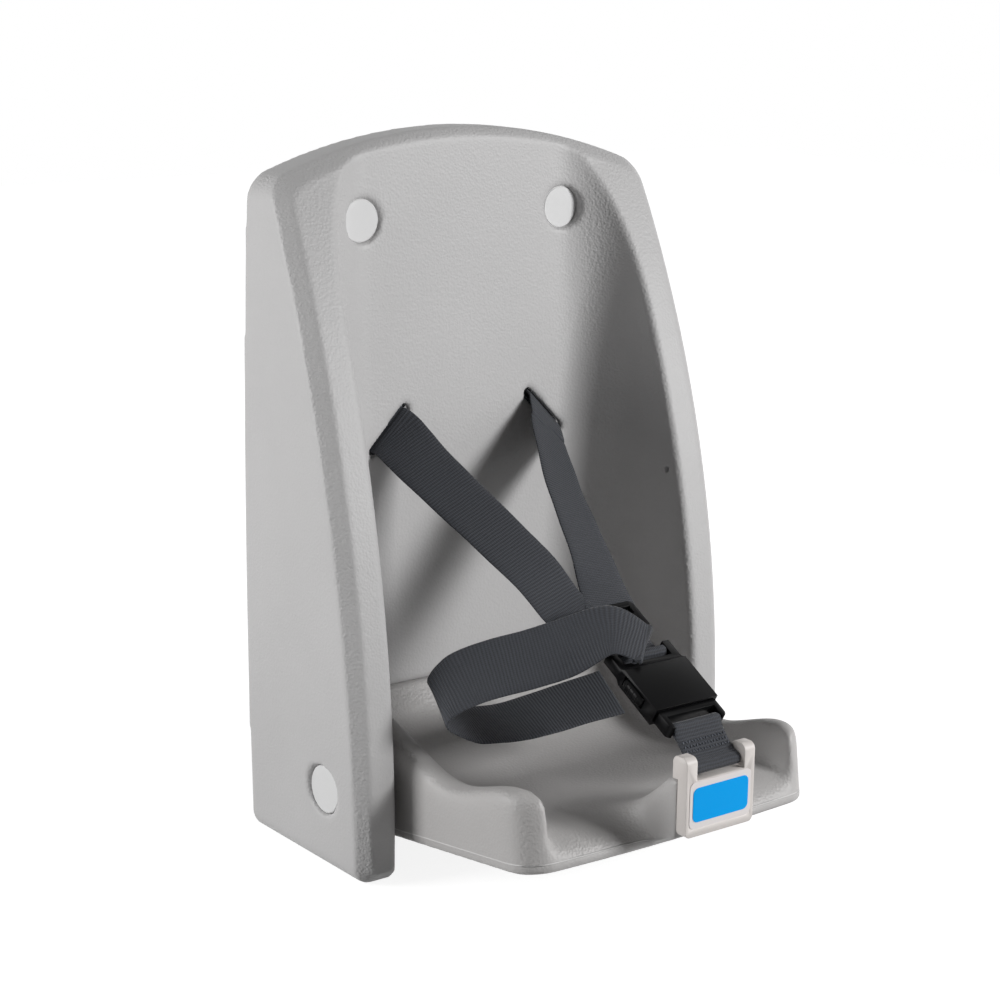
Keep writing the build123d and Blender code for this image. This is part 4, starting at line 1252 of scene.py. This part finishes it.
# The loose end goes out to the left over the slide, folds round and comes back above the seat.
LOOSE_END_ROUTE: Route = (
    ((-1, 223.5, 160.7), (0.78, -0.55, 0.30)),
    ((-18, 210.5, 168.6), (0.52, -0.60, 0.60)),
    ((-41, 193, 156), (0.24, -0.42, 0.88)),
    ((-57, 181, 149), (0.29, -0.40, 0.87)),
    ((-74, 170.5, 144), (0.32, -0.39, 0.86)),
    ((-88, 161.5, 138.5), (0.30, -0.47, 0.83)),
    ((-98, 156, 133), (0.24, -0.60, 0.76)),
    ((-103, 150.5, 126), (0.19, -0.73, 0.66)),
    ((-103, 147, 118), (0.19, -0.80, 0.57)),
    ((-93, 144.5, 109.5), (0.24, -0.86, 0.44)),
    ((-75, 142, 98.5), (0.36, -0.88, 0.29)),
    ((-56, 141, 94.5), (0.25, -0.91, 0.33)),
    ((-37, 142, 93), (0.12, -0.92, 0.38)),
    ((-17, 144, 95), (0.11, -0.90, 0.43)),
    ((9, 147, 98), (0.13, -0.87, 0.47)),
    ((35, 152, 102), (0.16, -0.83, 0.54)),
)

# Behind each slot the webbing goes round its anchor rod. Each place is a depth off the wall and
# a distance from the slot's own plane, in millimetres.
ANCHOR_LOOP: Row = (
    (33, 2.3), (29.5, 4.0), (25.4, 4.9), (21.9, 3.5), (20.5, 0), (21.9, -3.5), (25.4, -4.9),
    (29.5, -3.9),
)

# Millimetres along the buckle's line and off it: round the housing's bar and up under the slide.
ADJUSTING_ROUTE: Row = (
    (36, 3.2), (33, 3.0), (31.2, 0), (33, -3.0), (38, -2.9), (48, -3.6), (57, -6.4), (76, -6.6),
)

# Along the same line: from the insert's bar, round the pin between the ears and back to the bar.
CROTCH_ROUTE: Row = (
    (-24.8, -2.9), (-31.7, -2.8), (-44.7, -7.2), (-50.3, -11.7), (-54.6, -9.6), (-52.5, -5.3),
    (-45.3, -5.5), (-32.3, -1.2), (-27.0, 2.9), (-23.1, 1.0), (-24.2, -1.2),
)


@dataclass
class Harness:
    """The webbing: shoulder straps, adjusting strap with its loose end, and crotch strap.

    Lengths are in millimetres, and places on the buckle's line are given along it and off it.
    The mouth is where a shoulder strap leaves its slot: from inside the panel to just outside,
    and a little aside. The tuck takes the loose end under the slide's bar, counted in wraps
    along the strap and behind it. A fold's keep is the share that is left of a strap's depth.
    """

    paint: Paint
    line: BuckleLine = BuckleLine()
    slot_x: float = 64.7
    slot_depth: float = 36.2
    slot_height: float = 270.5
    mouth_inside: float = 3.0
    mouth_outside: float = 0.5
    mouth_aside: float = 1.0
    wrap: float = 1.5
    tuck: Row = ((3.0, 2.0), (1.0, 2.0), (-0.3, 1.0))
    slot_fold_axis: Triple = (0, -0.992, 0.123)
    slot_fold_keep: float = 0.066
    slide_fold_at: Pair = (66.5, 5.0)
    slide_fold_keep: float = 0.12
    bar_along: float = -26.0
    pin_at: Pair = (-51.4, -8.5)
    stitch_rows: Triple = (-36.5, -39.5, -42.5)
    stitch_lift: float = 1.75
    stitch_half_row: float = 16.5
    stitch_length: float = 2.6
    stitch_radius: float = 0.34
    stitch_count: int = 15
    stitch_lean: float = 28.0

    def shoulder_strap(self, side: Side) -> tuple[Ribbon, Ribbon]:
        """Lays a shoulder strap round its anchor rod and from its slot down under the slide.

        Args:
            side: Left or right, seen from the front.

        Returns:
            The loop that stays in the shell, and the length that hangs in front of it.
        """
        slant = direction(1, 0, -side.value)
        middle = place(side.value * self.slot_x, 0, self.slot_height)
        front = Vector((0, -1, 0))
        aside = slant.cross(front)
        loop = [
            Station(middle + (front * depth + aside * off) * MM, slant)
            for depth, off in ANCHOR_LOOP
        ]
        inside = front * (self.slot_depth - self.mouth_inside) - aside * self.mouth_aside
        outside = front * (self.slot_depth + self.mouth_outside)
        mouth = [Station(middle + inside * MM, slant), Station(middle + outside * MM, slant)]
        name = side.name.lower()
        return (
            Ribbon(f"{name}_anchor_loop", loop + mouth[:1]),
            Ribbon(f"{name}_shoulder_web", mouth + read_route(SHOULDER_ROUTES[side])),
        )

    def loose_end(self) -> Ribbon:
        """Lays the loose end round the slide's bar, out to the left and folded back on the seat.

        Returns:
            The strap.
        """
        run = read_route(LOOSE_END_ROUTE)
        first = run[0]
        way = (run[1].centre - first.centre).normalized()
        face = way.cross(first.across).normalized()
        if face.y > 0:
            face = -face
        tucked = [
            Station(
                first.centre + way * self.wrap * MM * ahead - face * self.wrap * MM * behind,
                first.across,
            )
            for ahead, behind in self.tuck
        ]
        return Ribbon("loose_end_web", tucked + run)

    def level_strap(self, name: str, route: Row, steps: int) -> Ribbon:
        """Lays a strap along the buckle's line with its width level.

        Args:
            name: The strap's name.
            route: Millimetres along the line and off it.
            steps: Places worked out from one station to the next.

        Returns:
            The strap.
        """
        across = Vector((1, 0, 0))
        run = [Station(self.line.at(along, lift), across) for along, lift in route]
        return Ribbon(name, run, steps=steps)

    def build(self) -> list[Piece]:
        """Builds the webbing.

        Returns:
            The straps and their stitches.
        """
        slots = place(0, self.slot_depth, self.slot_height)
        at_slots = Fold(self.slot_fold_axis, slots, self.slot_fold_keep)
        at_slide = Fold(
            self.line.face(), self.line.at(*self.slide_fold_at), self.slide_fold_keep
        )
        # Ribbon, node, body, how it is held, what bears it, and how it folds with the seat.
        plan = []
        for side in Side:
            loop, web = self.shoulder_strap(side)
            name = side.name.lower()
            node = f"{name}_shoulder_strap"
            plan.append((loop, node, "shell", "folded", f"{name}_anchor_rod", None))
            plan.append((web, node, "shell", "hung", "moulded_shell", at_slots))
        adjusting = self.level_strap("adjusting_web", ADJUSTING_ROUTE, 10)
        crotch = self.level_strap("crotch_web", CROTCH_ROUTE, 8)
        plan += [
            (self.loose_end(), "strap_tail", "slide", "folded", "moulded_pan", at_slide),
            (adjusting, "adjusting_strap", "harness", "hung", "eased_buckle_housing", None),
            (crotch, "crotch_strap", "harness", "hung", "crotch_pin", None),
        ]
        out = []
        for ribbon, node, body, held, bearer, fold in plan:
            strap = ribbon.build()
            self.paint.coat(strap, "web")
            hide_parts(node)
            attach(strap, body)
            ribbon.length()
            if fold:
                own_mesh(strap)
            out.append(strap)
            log.info("%s is %.0f mm long", ribbon.name, ribbon.length() / MM)
        return out + self.stitching()

    def stitching(self) -> list[Piece]:
        """Sews the crotch strap's loop together with rows of stitches.

        Returns:
            The rows.
        """
        line, half = self.line, self.stitch_half_row
        pin_along, pin_lift = self.pin_at
        out = []
        for i, along in enumerate(self.stitch_rows):
            share = (along - self.bar_along) / (pin_along - self.bar_along)
            lift = share * pin_lift + self.stitch_lift
            row = RodRow(
                f"crotch_stitches_{i + 1}", line.at(along, lift, -half),
                line.at(along, lift, half), line.along(), line.face(),
                length=self.stitch_length, radius=self.stitch_radius,
                count=self.stitch_count, lean=self.stitch_lean,
            )
            stitches = row.build(self.paint.materials["thread"])
            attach(stitches, "harness")
            out.append(stitches)
        return out


@dataclass
class Trim:
    """Cover, buckle and slide, hard pieces whose edges are eased, and the buckle's thumb grips.

    Lengths are in millimetres. The grip's middle is along the buckle's line, its root is off the
    middle plane, and it stands out from there. Its power makes the ball squarer below 1. The
    ribs' own sizes are shares of the grip's.
    """

    paint: Paint
    line: BuckleLine = BuckleLine()
    grip_middle: float = 7.6
    grip_length: float = 20.0
    grip_height: float = 8.0
    grip_root: float = 23.2
    grip_stand: float = 4.6
    grip_power: float = 0.62
    grip_sides: int = 32
    grip_rings: int = 20
    rib_spread: float = 0.27
    rib_stand: float = 0.9
    rib_height: float = 0.8
    rib_radius: float = 0.7
    rib_count: int = 4

    def build(self) -> list[Piece]:
        """Builds the hard pieces.

        Returns:
            The eased copies and the grips.
        """
        # Node, body, slot, and the width of its eased edges in millimetres.
        plan = (
            ("post_cover", "seat", "cover", 1.2),
            ("buckle_housing", "harness", "buckle", 1.0),
            ("buckle_insert", "harness", "buckle", 0.8),
            ("left_latch_prong", "left_prong", "buckle", 0.7),
            ("right_latch_prong", "right_prong", "buckle", 0.7),
            ("strap_slide", "slide", "buckle", 0.7),
        )
        out = []
        for node, body, slot, ease in plan:
            piece = welded_copy(node, f"eased_{node}")
            ease_edges(piece, ease * MM)
            self.paint.coat(piece, slot)
            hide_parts(node)
            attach(piece, body)
            out.append(piece)
        for side in Side:
            out += self.latch_grip(side)
        return out

    def latch_grip(self, side: Side) -> list[Piece]:
        """Puts a swelling thumb grip with ribs on a latch head.

        Args:
            side: Left or right, seen from the front.

        Returns:
            The grip and its ribs.
        """
        line, sign = self.line, side.value
        body = f"{side.name.lower()}_prong"
        shape = bmesh.new()
        bmesh.ops.create_uvsphere(
            shape, u_segments=self.grip_sides, v_segments=self.grip_rings, radius=1.0
        )
        for vertex in shape.verts:
            along, lift, out = (copysign(abs(c) ** self.grip_power, c) for c in vertex.co)
            vertex.co = line.at(
                self.grip_middle + along * self.grip_length / 2, lift * self.grip_height / 2,
                sign * (self.grip_root + out * self.grip_stand),
            )
        grip = finish_piece(f"{body}_grip", shape)
        self.paint.coat(grip, "buckle")
        reach = self.grip_length * self.rib_spread
        spot = sign * (self.grip_root + self.grip_stand * self.rib_stand)
        ribs = RodRow(
            f"{body}_ribs", line.at(self.grip_middle - reach, 0, spot),
            line.at(self.grip_middle + reach, 0, spot), line.face(), Vector((1, 0, 0)),
            length=self.grip_height * self.rib_height, radius=self.rib_radius,
            count=self.rib_count,
        ).build(self.paint.materials["buckle"])
        for piece in (grip, ribs):
            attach(piece, body)
        return [grip, ribs]


@dataclass(frozen=True)
class Lamp:
    """A soft box: its place and size in metres and its power in watts."""

    name: str
    spot: Triple
    size: Pair
    power: float

    def hang(self, target: Vector) -> None:
        """Hangs the lamp so that it faces the seat.

        Args:
            target: Where the lamp points, in metres.
        """
        data = bpy.data.lights.new(self.name, "AREA")
        data.shape = "RECTANGLE"
        data.size, data.size_y = self.size
        data.energy = self.power
        lamp = bpy.data.objects.new(self.name, data)
        lamp.location = self.spot
        lamp.rotation_euler = (target - Vector(self.spot)).to_track_quat("-Z", "Y").to_euler()
        bpy.context.scene.collection.objects.link(lamp)


@dataclass
class Studio:
    """The floor, the lamps and the camera of the photograph.

    Places are in metres, angles in degrees, and the lens and sensor in millimetres. The floor
    lies a small gap in millimetres below the seat. Near the seat, where its shadow is, the floor
    glows a little less than the white round it.
    """

    camera_at: Triple = (-0.8871, -1.2369, 0.3647)
    azimuth: float = -37.301
    elevation: float = 13.648
    roll: float = 0.770
    lens: float = 80.8
    sensor: float = 36.0
    clip: Pair = (0.05, 50.0)
    target: Triple = (0.0, -0.1, 0.02)
    key: Lamp = Lamp("key", (1.25, -1.95, 0.75), (0.7, 0.7), 46.0)
    left_side: Lamp = Lamp("left side", (-1.7, 0.55, 0.5), (0.8, 1.2), 27.0)
    sky_strength: float = 0.02
    floor_half: float = 4.0
    floor_gap: float = 0.6
    floor_colour: str = "#a6a6a6"
    floor_roughness: float = 0.9
    glow_reach: Pair = (0.12, 0.75)
    glow_strength: Pair = (0.85, 1.0)

    def floor(self) -> None:
        """Lays the pale floor, which isn't part of the seat."""
        mesh = bpy.data.meshes.new("floor")
        level = (FOOT_HEIGHT - self.floor_gap) * MM
        corners = ((-1, -1), (1, -1), (1, 1), (-1, 1))
        points = [(x * self.floor_half, y * self.floor_half, level) for x, y in corners]
        mesh.from_pydata(points, [], [(0, 1, 2, 3)])
        floor = add_piece("floor", mesh)
        floor.data.materials.append(self.floor_material())

    def floor_material(self) -> bpy.types.Material:
        """Builds the floor's finish, which shows white and still takes the seat's shadow.

        Returns:
            The material.
        """
        material, tree, shader = new_material("pale floor")
        feed(tree, shader, {
            "Base Color": linear(self.floor_colour), "Roughness": self.floor_roughness,
        })
        spot = add_node(tree, "ShaderNodeTexCoord").outputs["Object"]
        reach = add_node(tree, "ShaderNodeVectorMath", {"operation": "LENGTH"}, {0: spot})
        fade = add_node(
            tree, "ShaderNodeMapRange", {"interpolation_type": "SMOOTHSTEP"},
            {
                "Value": reach.outputs["Value"],
                "From Min": self.glow_reach[0], "From Max": self.glow_reach[1],
                "To Min": self.glow_strength[0], "To Max": self.glow_strength[1],
            },
        )
        glow = add_node(
            tree, "ShaderNodeEmission",
            inputs={"Color": WHITE, "Strength": fade.outputs["Result"]},
        )
        both = add_node(
            tree, "ShaderNodeAddShader",
            inputs={0: shader.outputs["BSDF"], 1: glow.outputs["Emission"]},
        )
        mix = add_node(
            tree, "ShaderNodeMixShader",
            inputs={
                0: self.seen_white(tree), 1: shader.outputs["BSDF"], 2: both.outputs["Shader"],
            },
        )
        output = next(node for node in tree.nodes if node.type == "OUTPUT_MATERIAL")
        feed(tree, output, {"Surface": mix.outputs["Shader"]})
        return material

    def seen_white(self, tree: Tree) -> Socket:
        """Adds the test for rays that should see a white background.

        Args:
            tree: The floor's or the world's tree.

        Returns:
            A socket that is 1 for camera, glossy and transmission rays.
        """
        path = add_node(tree, "ShaderNodeLightPath").outputs
        seen = path["Is Camera Ray"]
        for ray in ("Is Glossy Ray", "Is Transmission Ray"):
            either = add_node(
                tree, "ShaderNodeMath", {"operation": "MAXIMUM"}, {0: seen, 1: path[ray]}
            )
            seen = either.outputs["Value"]
        return seen

    def sky(self) -> None:
        """Makes the world white where it is seen and faint where it lights."""
        world = bpy.data.worlds.new("studio")
        bpy.context.scene.world = world
        world.use_nodes = True
        tree = world.node_tree
        tree.nodes.clear()
        lighting, seen = (
            add_node(
                tree, "ShaderNodeBackground", inputs={"Color": WHITE, "Strength": strength}
            ).outputs["Background"]
            for strength in (self.sky_strength, 1.0)
        )
        mix = add_node(
            tree, "ShaderNodeMixShader", inputs={0: self.seen_white(tree), 1: lighting, 2: seen}
        )
        add_node(tree, "ShaderNodeOutputWorld", inputs={"Surface": mix.outputs["Shader"]})

    def camera(self) -> None:
        """Sets the camera where the photograph was taken from."""
        az, el, roll = (radians(a) for a in (self.azimuth, self.elevation, self.roll))
        forward = Vector((-sin(az) * cos(el), cos(az) * cos(el), -sin(el)))
        right = Vector((cos(az), sin(az), 0))
        up = right.cross(forward)
        level = right * cos(roll) + up * sin(roll)
        upright = up * cos(roll) - right * sin(roll)
        data = bpy.data.cameras.new("camera")
        data.lens = self.lens
        data.sensor_width = self.sensor
        data.clip_start, data.clip_end = self.clip
        camera = bpy.data.objects.new("camera", data)
        turn = Matrix((level, upright, -forward)).transposed().to_4x4()
        camera.matrix_world = Matrix.Translation(self.camera_at) @ turn
        bpy.context.scene.collection.objects.link(camera)
        bpy.context.scene.camera = camera

    def build(self) -> None:
        """Sets up floor, world, lamps and camera."""
        self.floor()
        self.sky()
        for lamp in (self.key, self.left_side):
            lamp.hang(Vector(self.target))
        self.camera()
        bpy.context.scene.view_settings.view_transform = "Standard"


def main() -> None:
    """Dresses the seat piece by piece and sets up the studio."""
    paint = Paint.mixed()
    paint.coat_frame()
    for group in (BackShell(paint), SeatPan(paint), Harness(paint), Trim(paint)):
        for piece in group.build():
            faces = len(piece.data.polygons)
            log.info("%s: %s has %d faces", type(group).__name__, piece.name, faces)
    Studio().build()


if __name__ == "__main__":
    main()
